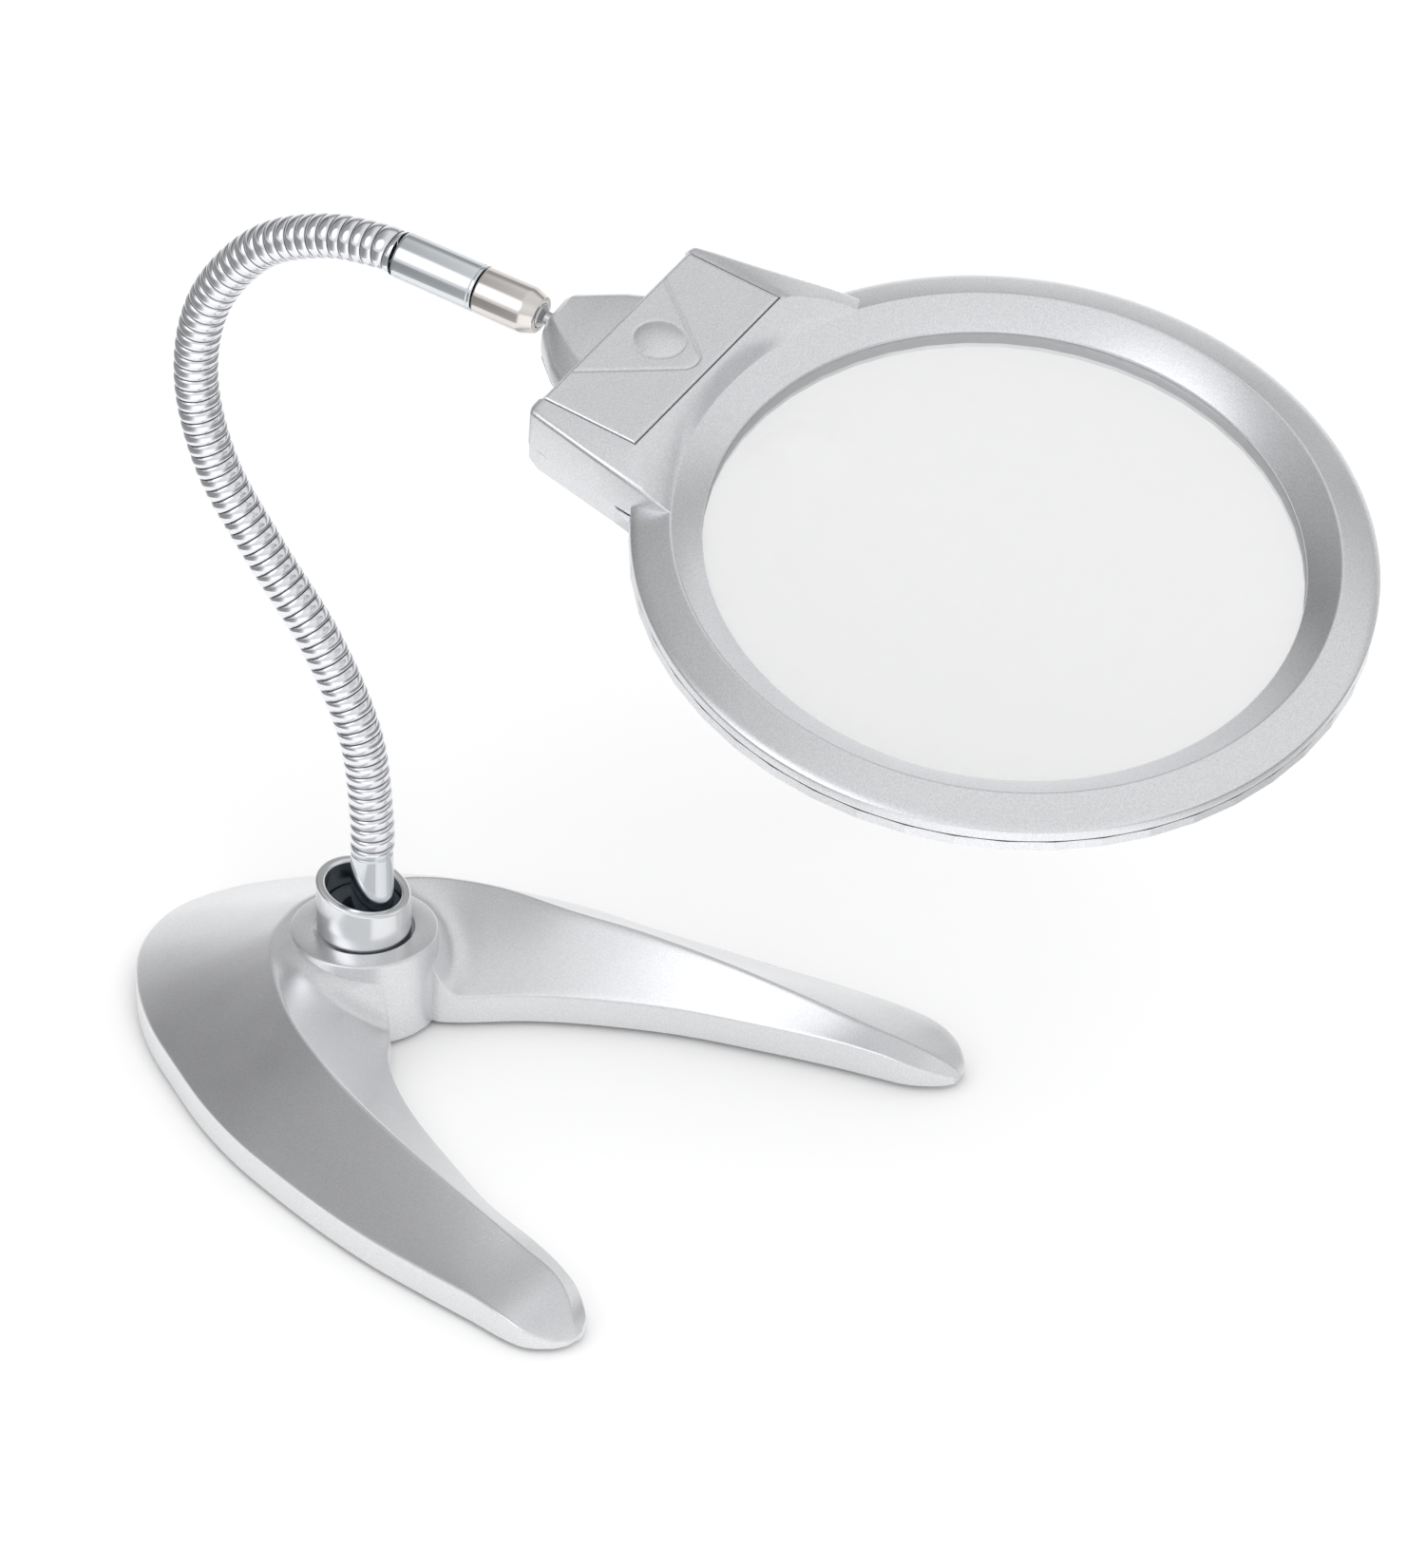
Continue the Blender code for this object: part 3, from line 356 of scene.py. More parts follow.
def build_base():
    """The horseshoe, lofted from tip to tip, and the boss that holds the collar."""
    columns = []
    for row in zip(*BASE_ROWS):
        points = [(sideways, -forward, height) for forward, sideways, height in row]
        columns.append(catmull(points, BASE_SECTIONS))
    sections = []
    for outer, crest, inner in zip(*columns):
        outer_foot = Vector((outer.x, outer.y, BASE_FLOOR))
        inner_foot = Vector((inner.x, inner.y, BASE_FLOOR))
        line = [outer_foot, outer, *facet(outer, crest, OUTER_STEPS), crest]
        line += [*facet(crest, inner, INNER_STEPS), inner, inner_foot]
        reach = [0, WALL_ROUND, *[0] * (OUTER_STEPS - 1), CREST_ROUND]
        reach += [*[0] * (INNER_STEPS - 1), WALL_ROUND, 0]
        points = round_corners(line, reach)
        for point in points[WALL_POINTS:-1]:
            if math.hypot(point.x, point.y) < BOSS_R + COVE_SEARCH:
                point.z = cove_height(point.x, point.y, point.z)
        sections.append(points)
    body = capped("base_body", sections, BASE_FRAME, cast_paint, smooth_angle=32.0)
    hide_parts("base_casting")
    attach(body, "base")

    boss_profile = [
        (BOSS_BORE_R, BOSS_TOP + 0.1), (BOSS_R, BOSS_TOP), (BOSS_R, BASE_FLOOR), (BOSS_BORE_R, BASE_FLOOR)]
    boss = lathe("base_boss", boss_profile, (0.3, 0.6, 0.4, 0.2), BASE_FRAME, cast_paint)
    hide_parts("base_casting")
    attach(boss, "base")


FEET = {
    "foot_heel_left": (14, 36), "foot_heel_right": (-24, 36),
    "foot_tip_left": (59, -101), "foot_tip_right": (-66, -101),
}


def build_feet():
    """Four thin round pads."""
    for node, (x, y) in FEET.items():
        profile = [(AXIS_R, 1.2), (5.3, 1.2), (5.5, 0.0), (AXIS_R, 0.0)]
        pad = lathe(node + "_pad", profile, (0, 0.3, 0.3, 0), BASE_FRAME @ Matrix.Translation((x, y, 0)),
                    pad_rubber, segments=48)
        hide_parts(node)
        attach(pad, "base")


# ---------------------------------------------------------------- collar and neck

RIM_HEIGHT = 32.8
RIM_SLANT = math.tan(math.radians(13.0))
# The cup's profile is drawn with its rim at this level; the slant then brings the rim down to its height.
RIM_LEVEL = 100.0
COLLAR_R = 10.55
COLLAR_BORE_R = 8.4


def build_collar():
    """The polished cup with its slanted rim, the bush inside it and the plain tube below the coil."""
    def slant(x, y, z):
        return RIM_HEIGHT - RIM_LEVEL - RIM_SLANT * x if z > RIM_LEVEL / 2 else 0.0

    profile = [(COLLAR_R, RIM_LEVEL), (COLLAR_R, 7.5), (COLLAR_BORE_R, 11.4), (COLLAR_BORE_R, RIM_LEVEL)]
    radii = (0.7, 0.3, 0, 0.7)
    collar = lathe("collar_cup", profile, radii, NECK_FRAME, collar_metal, segments=128, steps=4, lift=slant)
    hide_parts("collar_tube")
    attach(collar, "neck_1")

    bush_profile = [(4.85, 27.6), (6.2, 28.4), (8.2, 28.4), (8.2, 11.6), (4.85, 11.6)]
    bush = lathe("collar_bush_ring", bush_profile, (0.2, 0.5, 0.3, 0.2, 0.2), NECK_FRAME, bush_black)
    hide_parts("collar_bush")
    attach(bush, "neck_1")

    place_ferrule = NECK_FRAME @ Matrix.Translation((NECK_ROUTE[0][0], 0, 0))
    ferrule_profile = [
        (AXIS_R, 44.5), (4.8, 44.5), (4.8, 43.1), (4.5, 42.8), (4.75, 42.4), (4.75, 25.0), (AXIS_R, 25.0)]
    ferrule_radii = (0, 0.3, 0.2, 0.2, 0.2, 0.3, 0)
    ferrule = lathe("neck_ferrule_tube", ferrule_profile, ferrule_radii, place_ferrule, sleeve_chrome)
    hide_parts("neck_ferrule")
    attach(ferrule, "neck_1")


# The neck's centre line in its own plane, as (forward, height).
NECK_ROUTE = [
    (2.4, 40.0), (2.5, 51.5), (0.0, 72.0), (-9.4, 93.0), (-23.4, 112.4), (-35.0, 131.0),
    (-39.7, 152.0), (-35.6, 172.0), (-22.5, 188.5), (-6.4, 196.0), (7.4, 197.4), (12.4, 196.8),
]
NECK_POINTS = 1200
COIL_R = 5.0
COIL_START = 4.6
COIL_DEPTH = 0.62
COIL_PITCH = 2.7
COIL_SIDES = 44
# The winding leans by this share of half a pitch.
COIL_LEAN = 0.28
# The share of a turn on each side of a groove that gets the dark material, which is painted shade for the
# hollow between the wires.
GROOVE_SHARE = 0.06
# The closest that two sections of the coil may come.
COIL_STEP_LEAST = 0.02
# Places across one turn of the coil, from groove to groove.
COIL_STEPS = [0.0, 0.05, 0.11, 0.2, 0.33, 0.5, 0.67, 0.8, 0.89, 0.95]


def neck_line():
    """The centre line as close points, and the length from its start to each of them."""
    fine = catmull([(x, 0.0, z) for x, z in NECK_ROUTE], NECK_POINTS)
    lengths = [0.0]
    for a, b in zip(fine, fine[1:]):
        lengths.append(lengths[-1] + (b - a).length)
    return fine, lengths


def at_length(fine, lengths, s):
    """The point at a length along the centre line, and the direction there."""
    low, high = 0, len(lengths) - 1
    while high - low > 1:
        middle = (low + high) // 2
        if lengths[middle] <= s:
            low = middle
        else:
            high = middle
    share = (s - lengths[low]) / max(lengths[high] - lengths[low], 1e-9)
    point = fine[low].lerp(fine[high], share)
    before = fine[max(low - 4, 0)]
    after = fine[min(high + 4, len(fine) - 1)]
    return point, (after - before).normalized()


def coil_height(turn):
    """The height of the round wire across one turn, from 0 in the groove to 1."""
    x = 2.0 * (turn % 1.0) - 1.0
    return math.sqrt(max(1.0 - x * x, 0.0)) ** 0.9


def coil_piece(name, fine, lengths, start, end):
    """A stretch of wound coil between two lengths along the neck."""
    bm = bmesh.new()
    first = int(math.floor(start / COIL_PITCH))
    last = int(math.ceil(end / COIL_PITCH)) + 1
    marks = [start]
    for turn in range(first, last):
        marks += [(turn + step) * COIL_PITCH for step in COIL_STEPS]
    marks = sorted(s for s in marks if start <= s <= end) + [end]
    marks = [s for s, following in zip(marks, marks[1:]) if following - s > COIL_STEP_LEAST] + [end]
    side = Vector((0, 1, 0))
    sections = []
    for s in marks:
        point, along = at_length(fine, lengths, s)
        across = side.cross(along).normalized()
        section = []
        for k in range(COIL_SIDES):
            angle = 2 * math.pi * k / COIL_SIDES
            height = coil_height(s / COIL_PITCH)
            radius = COIL_R - COIL_DEPTH * (1.0 - height)
            shift = along * (COIL_PITCH * 0.5 * math.sin(angle) * COIL_LEAN)
            section.append(point + shift + (across * math.cos(angle) + side * math.sin(angle)) * radius)
        sections.append(section)
    rings = skin(bm, sections)
    # Faces in the grooves get the dark material, which is painted shade between the wires.
    for i, (s, following) in enumerate(zip(marks, marks[1:])):
        share = ((s + following) / 2 / COIL_PITCH) % 1.0
        if share < GROOVE_SHARE or share > 1.0 - GROOVE_SHARE:
            here = {face for vertex in rings[i] for face in vertex.link_faces}
            there = {face for vertex in rings[i + 1] for face in vertex.link_faces}
            for face in here & there:
                face.material_index = 1
    return mesh_object(name, bm, NECK_FRAME, chrome, groove_painted_shade, smooth_angle=50.0)


def build_neck():
    """The gooseneck: rigid at both ends, with five stretches between them that each span one hinge."""
    fine, lengths = neck_line()
    total = lengths[-1]
    bends = ["neck_bend_1", "neck_sway_2", "neck_bend_3", "neck_sway_4", "neck_bend_5"]
    to_neck = NECK_FRAME.inverted()
    hinges = []
    for name in bends:
        hinge = to_neck @ place[name]
        hinges.append(min(range(len(fine)), key=lambda i: (fine[i] - hinge).length_squared))
    hinges = [0.0, *[lengths[i] for i in hinges], total]
    middles = [(a + b) / 2 for a, b in zip(hinges, hinges[1:])]
    spans = [(COIL_START, middles[0]), *zip(middles, middles[1:]), (middles[-1], total)]
    for k, (start, end) in enumerate(spans):
        piece = coil_piece(f"coil_{k + 1}", fine, lengths, start, end)
        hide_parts(*{f"gooseneck_{min(max(n, 1), 6)}" for n in (k, k + 1)})
        if 0 < k < len(spans) - 1:
            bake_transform(piece)
        else:
            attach(piece, "neck_1" if k == 0 else "neck_6")

    end_point, _ = at_length(fine, lengths, total)
    end_frame = NECK_FRAME @ Matrix.Translation(end_point) @ Matrix.Rotation(
        math.pi / 2 + NECK_END_PITCH, 4, "Y")
    sleeve_profile = [
        (AXIS_R, 20.0), (5.3, 20.0), (5.3, 19.3), (5.12, 19.15),
        (5.3, 19.0), (5.3, 0.9), (5.05, 0.3), (AXIS_R, 0.3)]
    sleeve_radii = (0, 0.2, 0.05, 0.05, 0.1, 0.3, 0.3, 0)
    sleeve = lathe("neck_end_sleeve", sleeve_profile, sleeve_radii, end_frame, sleeve_chrome)
    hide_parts("neck_sleeve")
    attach(sleeve, "neck_6")

    nut_profile = [(2.9, 34.8), (4.1, 34.8), (5.3, 31.8), (5.3, 20.6), (5.0, 20.3), (2.6, 20.3), (2.6, 33.2)]
    nut = lathe("swivel_nut_shell", nut_profile, (0.15, 0.25, 0.5, 0.2, 0.2, 0, 0), end_frame, nut_nickel)
    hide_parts("swivel_nut")
    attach(nut, "swivel")


# ---------------------------------------------------------------- head

OPENING_R = 63.35
RIDGE_R = 70.3
RIDGE_HEIGHT = 4.2
RING_R = 78.6
# The lower shell stops at the parting line, and the upper shell starts a little above it.
PARTING = -1.6
UPPER_EDGE = PARTING + 0.15
SEAT_R = OPENING_R + 0.9
SEAT_HEIGHT = -0.6


def build_ring():
    """The upper half of the ring: an outer slope, a ridge and an inner slope down to the lens."""
    top = [
        (RIDGE_R, RIDGE_HEIGHT), (77.4, 1.9), (RING_R, 1.1), (RING_R, UPPER_EDGE), (SEAT_R, UPPER_EDGE),
        (SEAT_R, SEAT_HEIGHT), (OPENING_R, SEAT_HEIGHT), (OPENING_R, 0.0),
    ]
    radii = (0.5, 1.0, 0.4, 0.25, 0.1, 0, 0, 0.25)
    piece = lathe("ring_top", top, radii, HEAD_FRAME, shell_paint, segments=256, steps=4)
    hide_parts("head_top_shell")
    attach(piece, "head")


BOX_TOP = 9.4
PANEL_BACK = -96.2
PANEL_FRONT = -73.9
PANEL_NEAR = -26.3
PANEL_FAR = 27.2
PANEL_TOP = 9.75
COVER_THICK = 1.8
# Battery box sections: place along X, then for the near and the far side the wall's half width at the parting
# line and the shoulder edge (half width, height), then the height of the top.
BOX_SECTIONS = [
    (-97.2, (29.2, 29.6, 8.4), (29.0, 29.4, 8.2), 8.7),
    (-96.5, (30.2, 30.8, 9.1), (30.0, 30.6, 8.9), 9.4),
    (-93.0, (31.0, 31.6, 9.2), (31.9, 31.8, 8.7), 9.4),
    (-86.0, (32.5, 32.8, 9.1), (34.1, 33.7, 8.0), 9.4),
    (-80.0, (33.6, 33.8, 8.8), (36.2, 35.6, 7.3), 9.4),
    (-74.0, (34.6, 34.5, 8.3), (38.7, 38.0, 6.1), 9.4),
    (-68.5, (35.2, 34.9, 7.4), (41.4, 40.6, 4.7), 9.2),
    (-63.5, (35.4, 34.9, 6.1), (43.6, 42.8, 3.0), 8.6),
    (-58.5, (35.0, 34.4, 4.2), (45.6, 44.8, 1.0), 7.6),
    (-54.0, (34.7, 34.2, 2.2), (47.0, 46.2, -0.6), 6.6),
]
# The box and its panel stand a little skewed to the ring's axis.
BOX_SKEW = 0.06
BOX_FRAME = HEAD_FRAME @ Matrix(((1, BOX_SKEW, 0, 0), (0, 1, 0, 0), (0, 0, 1, 0), (0, 0, 0, 1)))
SHOULDER_Y = 28.2
ALONG_ROUND = (0, 0.6, 3.0, 3.0, 3.0, 3.0, 3.0, 3.0, 3.0, 0)
ACROSS_ROUND = (0, 1.2, 2.0, 2.5, 1.6, 0)
# The slope in front of the panel starts at the ring's ridge and ends at this distance from the ring's middle.
SLOPE_FOOT_R = 70.25
SLOPE_TOP_X = 73.4
SLOPE_SHARES = (0.9, 0.75, 0.6, 0.45, 0.3, 0.15)
# The recess for the panel stands this far clear of it.
PANEL_GAP = 0.3
# Sections of the stub that holds the ball stud: place along X, half width, bottom, top and corner size.
STUB_SECTIONS = [
    (-96.5, 17.0, -6.0, 7.6, 4.0), (-100.0, 15.2, -5.8, 7.6, 4.0), (-104.0, 12.5, -5.4, 7.4, 4.0),
    (-109.2, 7.4, -4.2, 7.2, 2.6), (-110.2, 6.2, -3.2, 6.5, 2.2),
]
STUB_ROUND = 1.4
STUD_BORE_R = 2.2
TOOL_TOP = 14.0
TOOL_BACK_R = 40.0
CUT_SHARP = math.radians(30)


def cut(piece, *tools):
    """Takes closed tool solids away from a piece and drops them."""
    for tool in tools:
        modifier = piece.modifiers.new("cut", "BOOLEAN")
        modifier.operation = "DIFFERENCE"
        modifier.solver = "EXACT"
        modifier.object = tool
    view = bpy.context.evaluated_depsgraph_get()
    mesh = bpy.data.meshes.new_from_object(piece.evaluated_get(view))
    piece.modifiers.clear()
    piece.data = mesh
    mesh.set_sharp_from_angle(angle=CUT_SHARP)
    for tool in tools:
        bpy.data.objects.remove(tool)


def block(name, low, high, matrix):
    """A square tool between two corners."""
    bm = bmesh.new()
    bmesh.ops.create_cube(bm, size=1.0)
    size = Vector(high) - Vector(low)
    middle = (Vector(high) + Vector(low)) / 2
    for vertex in bm.verts:
        vertex.co = Vector([c * d + m for c, d, m in zip(vertex.co, size, middle)])
    return mesh_object(name, bm, matrix)


def slope_tool():
    """What is taken off the box: all over the slope from the ring's ridge to the panel's front edge."""
    rise = BOX_TOP - RIDGE_HEIGHT
    sections = []
    for degrees in range(-60, 61, 2):
        angle = math.radians(degrees)
        edge = SLOPE_TOP_X / (math.cos(angle) + BOX_SKEW * math.sin(angle))
        reach = edge - SLOPE_FOOT_R
        profile = [(TOOL_BACK_R, TOOL_TOP), (SLOPE_FOOT_R + reach + 5.0, TOOL_TOP)]
        profile.append((SLOPE_FOOT_R + reach + 0.25, BOX_TOP + 0.1))
        for t in SLOPE_SHARES:
            height = RIDGE_HEIGHT + rise * (0.6 * t + 0.4 * (1 - (1 - t) ** 2))
            profile.append((SLOPE_FOOT_R + reach * t, height))
        profile += [(SLOPE_FOOT_R, RIDGE_HEIGHT - 0.04), (SLOPE_FOOT_R - 1.0, 3.0)]
        profile += [(SLOPE_FOOT_R - 1.0, -4.0), (TOOL_BACK_R, -4.0)]
        sections.append([(-r * math.cos(angle), r * math.sin(angle), z) for r, z in profile])
    return capped("window_tool", sections, HEAD_FRAME)


def build_box():
    """The battery box's upper half, open under its panel and sloped to the ring, and the stub at its back."""
    lines = []
    for x, near, far, top in BOX_SECTIONS:
        lines.append([
            (x, -near[0], UPPER_EDGE), (x, -near[1], near[2]), (x, -SHOULDER_Y, top),
            (x, SHOULDER_Y, top), (x, far[1], far[2]), (x, far[0], UPPER_EDGE)])
    columns = [round_corners(column, ALONG_ROUND, 2) for column in zip(*lines)]
    sections = [round_corners(line, ACROSS_ROUND, 6) for line in zip(*columns)]
    box = capped("box_shell", sections, BOX_FRAME, shell_paint, smooth_angle=30.0)
    window = slope_tool()
    bay = block("bay_tool", (-95.4, -25.0, -1.0), (-74.4, 25.6, 12.0), BOX_FRAME)
    ledge = block(
        "ledge_tool", (-102.0, PANEL_NEAR - PANEL_GAP, PANEL_TOP - COVER_THICK - PANEL_GAP),
        (PANEL_FRONT + PANEL_GAP, PANEL_FAR + PANEL_GAP, 12.0), BOX_FRAME)
    sides = block("side_tool", (-94.0, -29.2, -3.0), (-76.0, 29.2, 5.0), HEAD_FRAME)
    cut(box, window, bay, ledge, sides)
    slot = block("switch_slot_tool", (-93.4, 28.0, 0.8), (-84.6, 40.0, 3.6), HEAD_FRAME)
    cut(box, slot)
    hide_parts("head_top_shell")
    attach(box, "head")

    sections = []
    for x, half, low, high, corner in STUB_SECTIONS:
        line = [(x, y, z) for y, z in (
            (-half, low + corner), (-half, high - corner), (-half + corner, high), (half - corner, high),
            (half, high - corner), (half, low + corner), (half - corner, low), (-half + corner, low))]
        sections.append(round_corners(line, [STUB_ROUND] * 8, 3, closed=True))
    stub = capped("box_stub", sections, HEAD_FRAME, shell_paint, smooth_angle=30.0)
    bore_frame = HEAD_FRAME @ Matrix.Translation((-115, 0, PIVOT_HEIGHT))
    bore_frame = bore_frame @ Matrix.Rotation(math.pi / 2, 4, "Y")
    bore_profile = [(AXIS_R, 0), (STUD_BORE_R, 0), (STUD_BORE_R, 20), (AXIS_R, 20)]
    bore = lathe("bore_tool", bore_profile, (0, 0, 0, 0), bore_frame, segments=32)
    cut(stub, bore)
    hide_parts("head_top_shell")
    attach(stub, "head")


GROOVE_DEPTH = 0.16
GROOVE_HALF = 0.45
# The engraved pointer: where its two legs would meet, their angle to X and the radius of its soft tip.
POINTER_Y = 0.5
POINTER_APEX = -74.3
POINTER_SLOPE = math.radians(38.3)
POINTER_TIP_R = 3.75
DOME = (-86.7, 1.9)
DOME_R = 5.3
DOME_RISE = 0.6
# The dome stands in a shallow ring, as a share of its radius, and is sunk a little into the panel.
DOME_RING = 0.12
DOME_SINK = 0.1
EDGE_DROP = 0.35
EDGE_WIDTH = 0.45


def build_panel():
    """The battery cover: rounded edges, an engraved pointer with a soft tip, and a plain dome."""
    rise, run = math.sin(POINTER_SLOPE), math.cos(POINTER_SLOPE)
    tip_x = POINTER_APEX - POINTER_TIP_R / rise

    def groove(x, y):
        """How deep the pointer is here, from 0 to 1: two straight legs that join on an arc."""
        y = y - POINTER_Y
        distance = abs((POINTER_APEX - x) * rise - abs(y) * run)
        if x > tip_x + POINTER_TIP_R * rise:
            distance = abs(math.hypot(x - tip_x, y) - POINTER_TIP_R)
        return max(1.0 - distance / GROOVE_HALF, 0.0)

    def top(x, y):
        edge = min(x - PANEL_BACK, PANEL_FRONT - x, y - PANEL_NEAR, PANEL_FAR - y)
        z = PANEL_TOP - EDGE_DROP * max(1.0 - edge / EDGE_WIDTH, 0.0) ** 2
        g = groove(x, y)
        z -= GROOVE_DEPTH * g * g * (3 - 2 * g)
        reach = math.hypot(x - DOME[0], y - DOME[1]) / DOME_R
        if reach < 1.0:
            z = max(z, PANEL_TOP - DOME_SINK + DOME_RISE * (1.0 - reach ** 2) ** 0.75)
        elif reach < 1.0 + DOME_RING:
            z -= 1.0 + DOME_RING - reach
        return z

    def stations(low, high, step):
        """Even places, with closer ones along both edges."""
        count = max(int(round((high - low) / step)), 1)
        inner = [low + (high - low) * k / count for k in range(count + 1)]
        return sorted(set(inner + [low + 0.12, low + 0.25, high - 0.25, high - 0.12]))

    xs = stations(PANEL_BACK, PANEL_FRONT, 0.24)
    ys = stations(PANEL_NEAR, PANEL_FAR, 0.36)
    bm = bmesh.new()
    grid = [[bm.verts.new((x, y, top(x, y))) for y in ys] for x in xs]
    for row, following in zip(grid, grid[1:]):
        for i in range(len(ys) - 1):
            bm.faces.new((row[i], following[i], following[i + 1], row[i + 1]))
    rim = grid[0] + [row[-1] for row in grid[1:]] + grid[-1][-2::-1] + [row[0] for row in grid[-2:0:-1]]
    low = [bm.verts.new((v.co.x, v.co.y, PANEL_TOP - COVER_THICK)) for v in rim]
    for i in range(len(rim)):
        j = (i + 1) % len(rim)
        bm.faces.new((rim[i], rim[j], low[j], low[i]))
    bm.faces.new(low)
    panel = mesh_object("battery_panel", bm, BOX_FRAME, shell_paint, smooth_angle=40.0)
    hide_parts("battery_cover")
    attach(panel, "cover")


LENS_R = 65.0
LENS_TOP = -1.0
LENS_LOW = -3.6
LENS_SAG = 4.2
# The small stronger lens in its top: where it is, its radius, its rise and how deep its bowl is sunk.
INSET_X = -47.5
INSET_R = 13.0
INSET_RISE = 2.0
INSET_SINK = 0.9


def build_lens():
    """The lens: curved on both sides, with the small stronger lens in its top."""
    bm = bmesh.new()
    rings_count, sides = 40, 160
    surface = LENS_TOP + LENS_SAG * (1 - (INSET_X / LENS_R) ** 2)

    def top_height(x, y):
        plain = LENS_TOP + LENS_SAG * (1 - (x * x + y * y) / LENS_R ** 2)
        share = ((x - INSET_X) ** 2 + y * y) / INSET_R ** 2
        raised = surface - INSET_SINK + (INSET_RISE + INSET_SINK) * (1 - share)
        return max(plain, raised) if share < 1 else plain

    def disc(height_at):
        centre = bm.verts.new((0, 0, height_at(0, 0)))
        rings = []
        for i in range(1, rings_count + 1):
            r = LENS_R * i / rings_count
            ring = []
            for k in range(sides):
                x = r * math.cos(2 * math.pi * k / sides)
                y = r * math.sin(2 * math.pi * k / sides)
                ring.append(bm.verts.new((x, y, height_at(x, y))))
            rings.append(ring)
        for k in range(sides):
            bm.faces.new((centre, rings[0][k], rings[0][(k + 1) % sides]))
        for inner, outer in zip(rings, rings[1:]):
            for k in range(sides):
                j = (k + 1) % sides
                bm.faces.new((inner[k], outer[k], outer[j], inner[j]))
        return rings[-1]

    upper = disc(top_height)
    lower = disc(lambda x, y: LENS_LOW - LENS_SAG * (1 - (x * x + y * y) / LENS_R ** 2))
    for k in range(sides):
        j = (k + 1) % sides
        bm.faces.new((upper[k], upper[j], lower[j], lower[k]))
    lens = mesh_object("lens_glass", bm, HEAD_FRAME, lens_clear, smooth_angle=25.0)
    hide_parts("main_lens")
    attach(lens, "head")


builders = (build_base, build_feet, build_collar, build_neck, build_ring, build_box, build_panel, build_lens)
for build in builders:
    build()

# ---------------------------------------------------------------- CAD nodes that stay

kept = {
    "head_bottom_shell": shell_paint, "ball_stud": plain_steel, "stud_nut": plain_steel,
    "cell_cradle": dark_plastic,
    "lamp_board": board_mask, "switch_body": plain_steel, "switch_slider": dark_plastic,
    "battery_cell_1": cell_sleeve, "battery_cell_2": cell_sleeve,
    "contact_spring_1": plain_steel, "contact_spring_2": plain_steel,
    "contact_plate_left": plain_steel, "contact_plate_right": plain_steel,
    "led_left": lamp_epoxy, "led_right": lamp_epoxy, "pivot_screw": plain_steel, "pivot_washer": plain_steel,
    "shell_screw_1": plain_steel, "shell_screw_2": plain_steel, "shell_screw_3": plain_steel,
    "shell_screw_4": plain_steel,
}
for name, material in kept.items():
    for slot in nodes[name].material_slots:
        slot.material = material

# ---------------------------------------------------------------- stage, light and camera


FLOOR_HALF = 6.0
MAT_R = 190.0
MAT_TOP = 0.03


def build_floor():
    """A pale floor, and a mat just over it that only reflections see."""
    bm = bmesh.new()
    bmesh.ops.create_grid(bm, x_segments=1, y_segments=1, size=FLOOR_HALF)
    floor = mesh_object("floor", bm, Matrix.Identity(4))
    material, tree, shader = new_material("studio_floor")
    grain = noise(tree, 3.0, 1.0)
    tree.links.new(ramp(tree, grain.outputs["Fac"], [(0.3, 0.93), (0.7, 0.94)]), shader.inputs["Base Color"])
    shader.inputs["Roughness"].default_value = 0.9
    shader.inputs["Specular IOR Level"].default_value = 0.1
    floor.data.materials.append(material)
    floor.visible_glossy = False
    profile = [(AXIS_R, MAT_TOP), (MAT_R, MAT_TOP), (MAT_R, 0.0), (AXIS_R, 0.0)]
    mat = lathe("floor_mat", profile, (0, 0, 0, 0), BASE_FRAME, material)
    mat.visible_camera = False
    mat.visible_shadow = False
    mat.visible_diffuse = False
    mat.visible_transmission = False


# Directions in the studio: level towards the camera's side, level across it, and to the card and the window.
TO_CAMERA = (-0.765, -0.644, 0)
ACROSS = (0.644, -0.765, 0)
TO_CARD = (-0.23, 0.76, 0.60)
TO_WINDOW = (-0.78, 0.13, 0.60)
WINDOW_LIGHT = (1.35, 1.35, 1.38, 1.0)


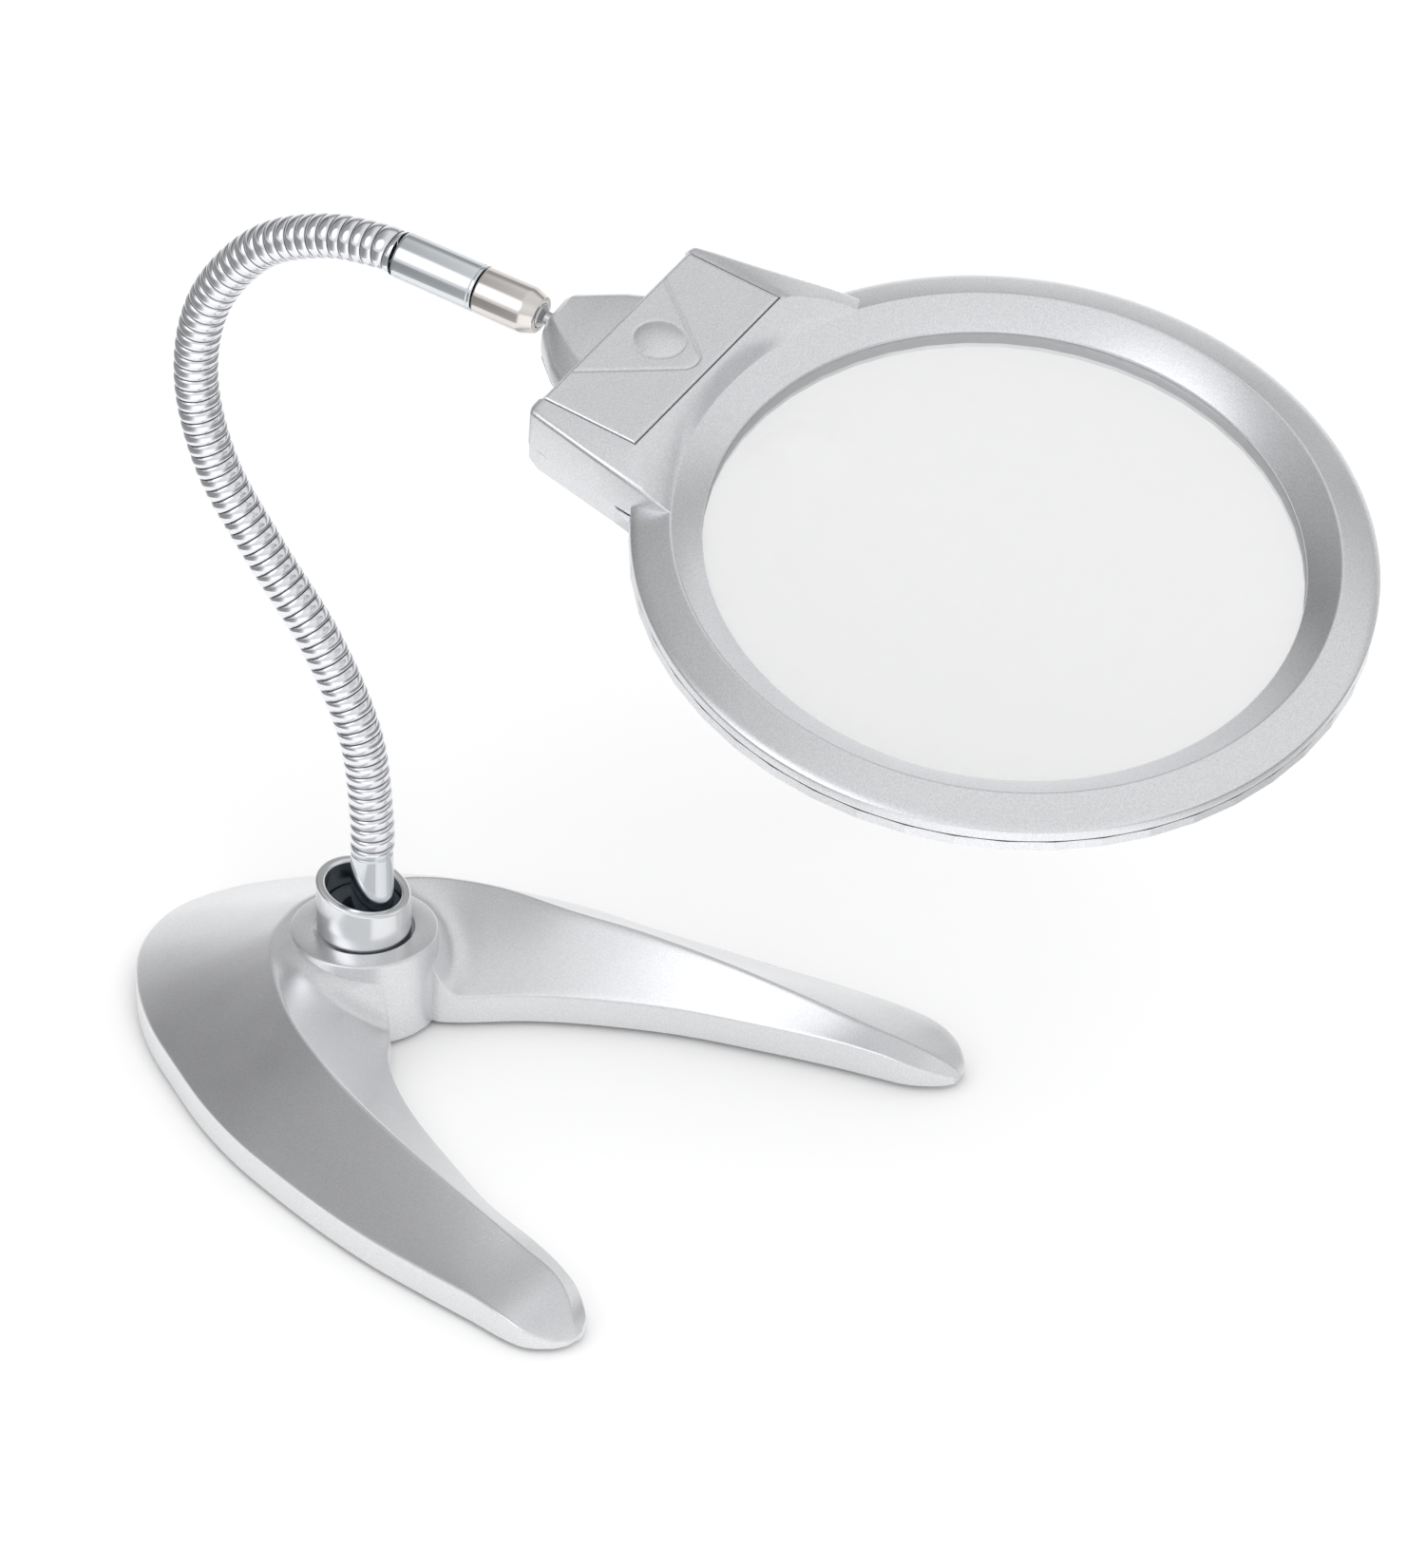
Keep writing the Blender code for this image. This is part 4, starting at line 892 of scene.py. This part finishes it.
def build_world():
    """Soft white light all round; gloss sees a dark band, a card, a window and a white table."""
    world = bpy.data.worlds.new("studio")
    world.use_nodes = True
    bpy.context.scene.world = world
    tree = world.node_tree
    tree.nodes.clear()
    output = tree.nodes.new("ShaderNodeOutputWorld")
    even = tree.nodes.new("ShaderNodeBackground")
    even.inputs["Color"].default_value = (1.0, 1.0, 1.0, 1.0)
    even.inputs["Strength"].default_value = 1.0
    gloss = tree.nodes.new("ShaderNodeBackground")
    path = tree.nodes.new("ShaderNodeLightPath")
    mix = tree.nodes.new("ShaderNodeMixShader")
    tree.links.new(path.outputs["Is Glossy Ray"], mix.inputs[0])
    tree.links.new(even.outputs[0], mix.inputs[1])
    tree.links.new(gloss.outputs[0], mix.inputs[2])
    tree.links.new(mix.outputs[0], output.inputs["Surface"])

    where = tree.nodes.new("ShaderNodeTexCoord")

    def along(direction):
        node = tree.nodes.new("ShaderNodeVectorMath")
        node.operation = "DOT_PRODUCT"
        tree.links.new(where.outputs["Generated"], node.inputs[0])
        node.inputs[1].default_value = direction
        return node.outputs["Value"]

    def maths(operation, *inputs):
        node = tree.nodes.new("ShaderNodeMath")
        node.operation = operation
        for socket, value in zip(node.inputs, inputs):
            if isinstance(value, (int, float)):
                socket.default_value = value
            else:
                tree.links.new(value, socket)
        return node.outputs[0]

    up = along((0, 0, 1))
    front = along(TO_CAMERA)
    # The angle from the horizon behind the lamp (0) over the top to the horizon in front (1).
    sweep = maths("DIVIDE", maths("ARCTAN2", up, maths("MULTIPLY", front, -1.0)), math.pi)
    over = ramp(tree, maths("MAXIMUM", sweep, 0.0), [
        (0.0, 0.76), (0.12, 0.76), (0.20, 0.28), (0.27, 0.32), (0.34, 0.64),
        (0.5, 0.66), (0.64, 0.62), (0.8, 0.74), (1.0, 0.62)])
    side = maths("ABSOLUTE", along(ACROSS))
    table = ramp(tree, side, [(0.0, 1.0), (0.40, 0.90), (0.66, 0.40), (0.84, 0.25)])
    below = maths("LESS_THAN", up, 0.0)
    blend = tree.nodes.new("ShaderNodeMix")
    blend.data_type = "RGBA"
    tree.links.new(below, blend.inputs["Factor"])
    tree.links.new(over, blend.inputs["A"])
    tree.links.new(table, blend.inputs["B"])
    # A dark card hangs to the left, 37 degrees up, where the front leg's outer face looks.
    card = along(Vector(TO_CARD).normalized())
    shade = ramp(tree, card, [(0.62, 1.0), (0.90, 0.46)])
    dim = tree.nodes.new("ShaderNodeMix")
    dim.data_type = "RGBA"
    dim.blend_type = "MULTIPLY"
    dim.inputs["Factor"].default_value = 1.0
    tree.links.new(blend.outputs["Result"], dim.inputs["A"])
    tree.links.new(shade, dim.inputs["B"])
    # A bright window stands on the camera's left, where rounded edges and the ring's inner slope look.
    window = ramp(tree, along(Vector(TO_WINDOW).normalized()), [(0.89, 0.0), (0.975, 1.0)])
    lit = tree.nodes.new("ShaderNodeMix")
    lit.data_type = "RGBA"
    tree.links.new(window, lit.inputs["Factor"])
    tree.links.new(dim.outputs["Result"], lit.inputs["A"])
    lit.inputs["B"].default_value = WINDOW_LIGHT
    tree.links.new(lit.outputs["Result"], gloss.inputs["Color"])
    gloss.inputs["Strength"].default_value = 1.25


def add_area(name, location, target, size, power):
    light = bpy.data.lights.new(name, "AREA")
    light.shape = "DISK"
    light.size = size
    light.energy = power
    item = bpy.data.objects.new(name, light)
    bpy.context.scene.collection.objects.link(item)
    item.location = location
    item.rotation_euler = (Vector(target) - Vector(location)).to_track_quat("-Z", "Y").to_euler()
    item.visible_glossy = False


AZIMUTH = math.radians(-49.9)
ELEVATION = math.radians(32.63)
CAMERA_DISTANCE = 2.6087
CAMERA_LENS = 261.8
LOOK_OFFSET = (120.5, 0.83, 0)


def build_camera():
    level = math.cos(ELEVATION)
    toward = Vector((math.sin(AZIMUTH) * level, -math.cos(AZIMUTH) * level, math.sin(ELEVATION)))
    look = COLLAR + Vector(LOOK_OFFSET) * MM
    data = bpy.data.cameras.new("camera")
    data.sensor_fit = "AUTO"
    data.sensor_width = 36.0
    data.lens = CAMERA_LENS
    data.clip_end = 50.0
    camera = bpy.data.objects.new("camera", data)
    bpy.context.scene.collection.objects.link(camera)
    camera.location = look + toward * CAMERA_DISTANCE
    camera.rotation_euler = (-toward).to_track_quat("-Z", "Y").to_euler()
    bpy.context.scene.camera = camera


build_floor()
build_world()
add_area("key", (-0.9, -1.3, 1.9), (0, 0, 0.08), 1.6, 16.0)
build_camera()
bpy.context.scene.view_settings.view_transform = "Standard"
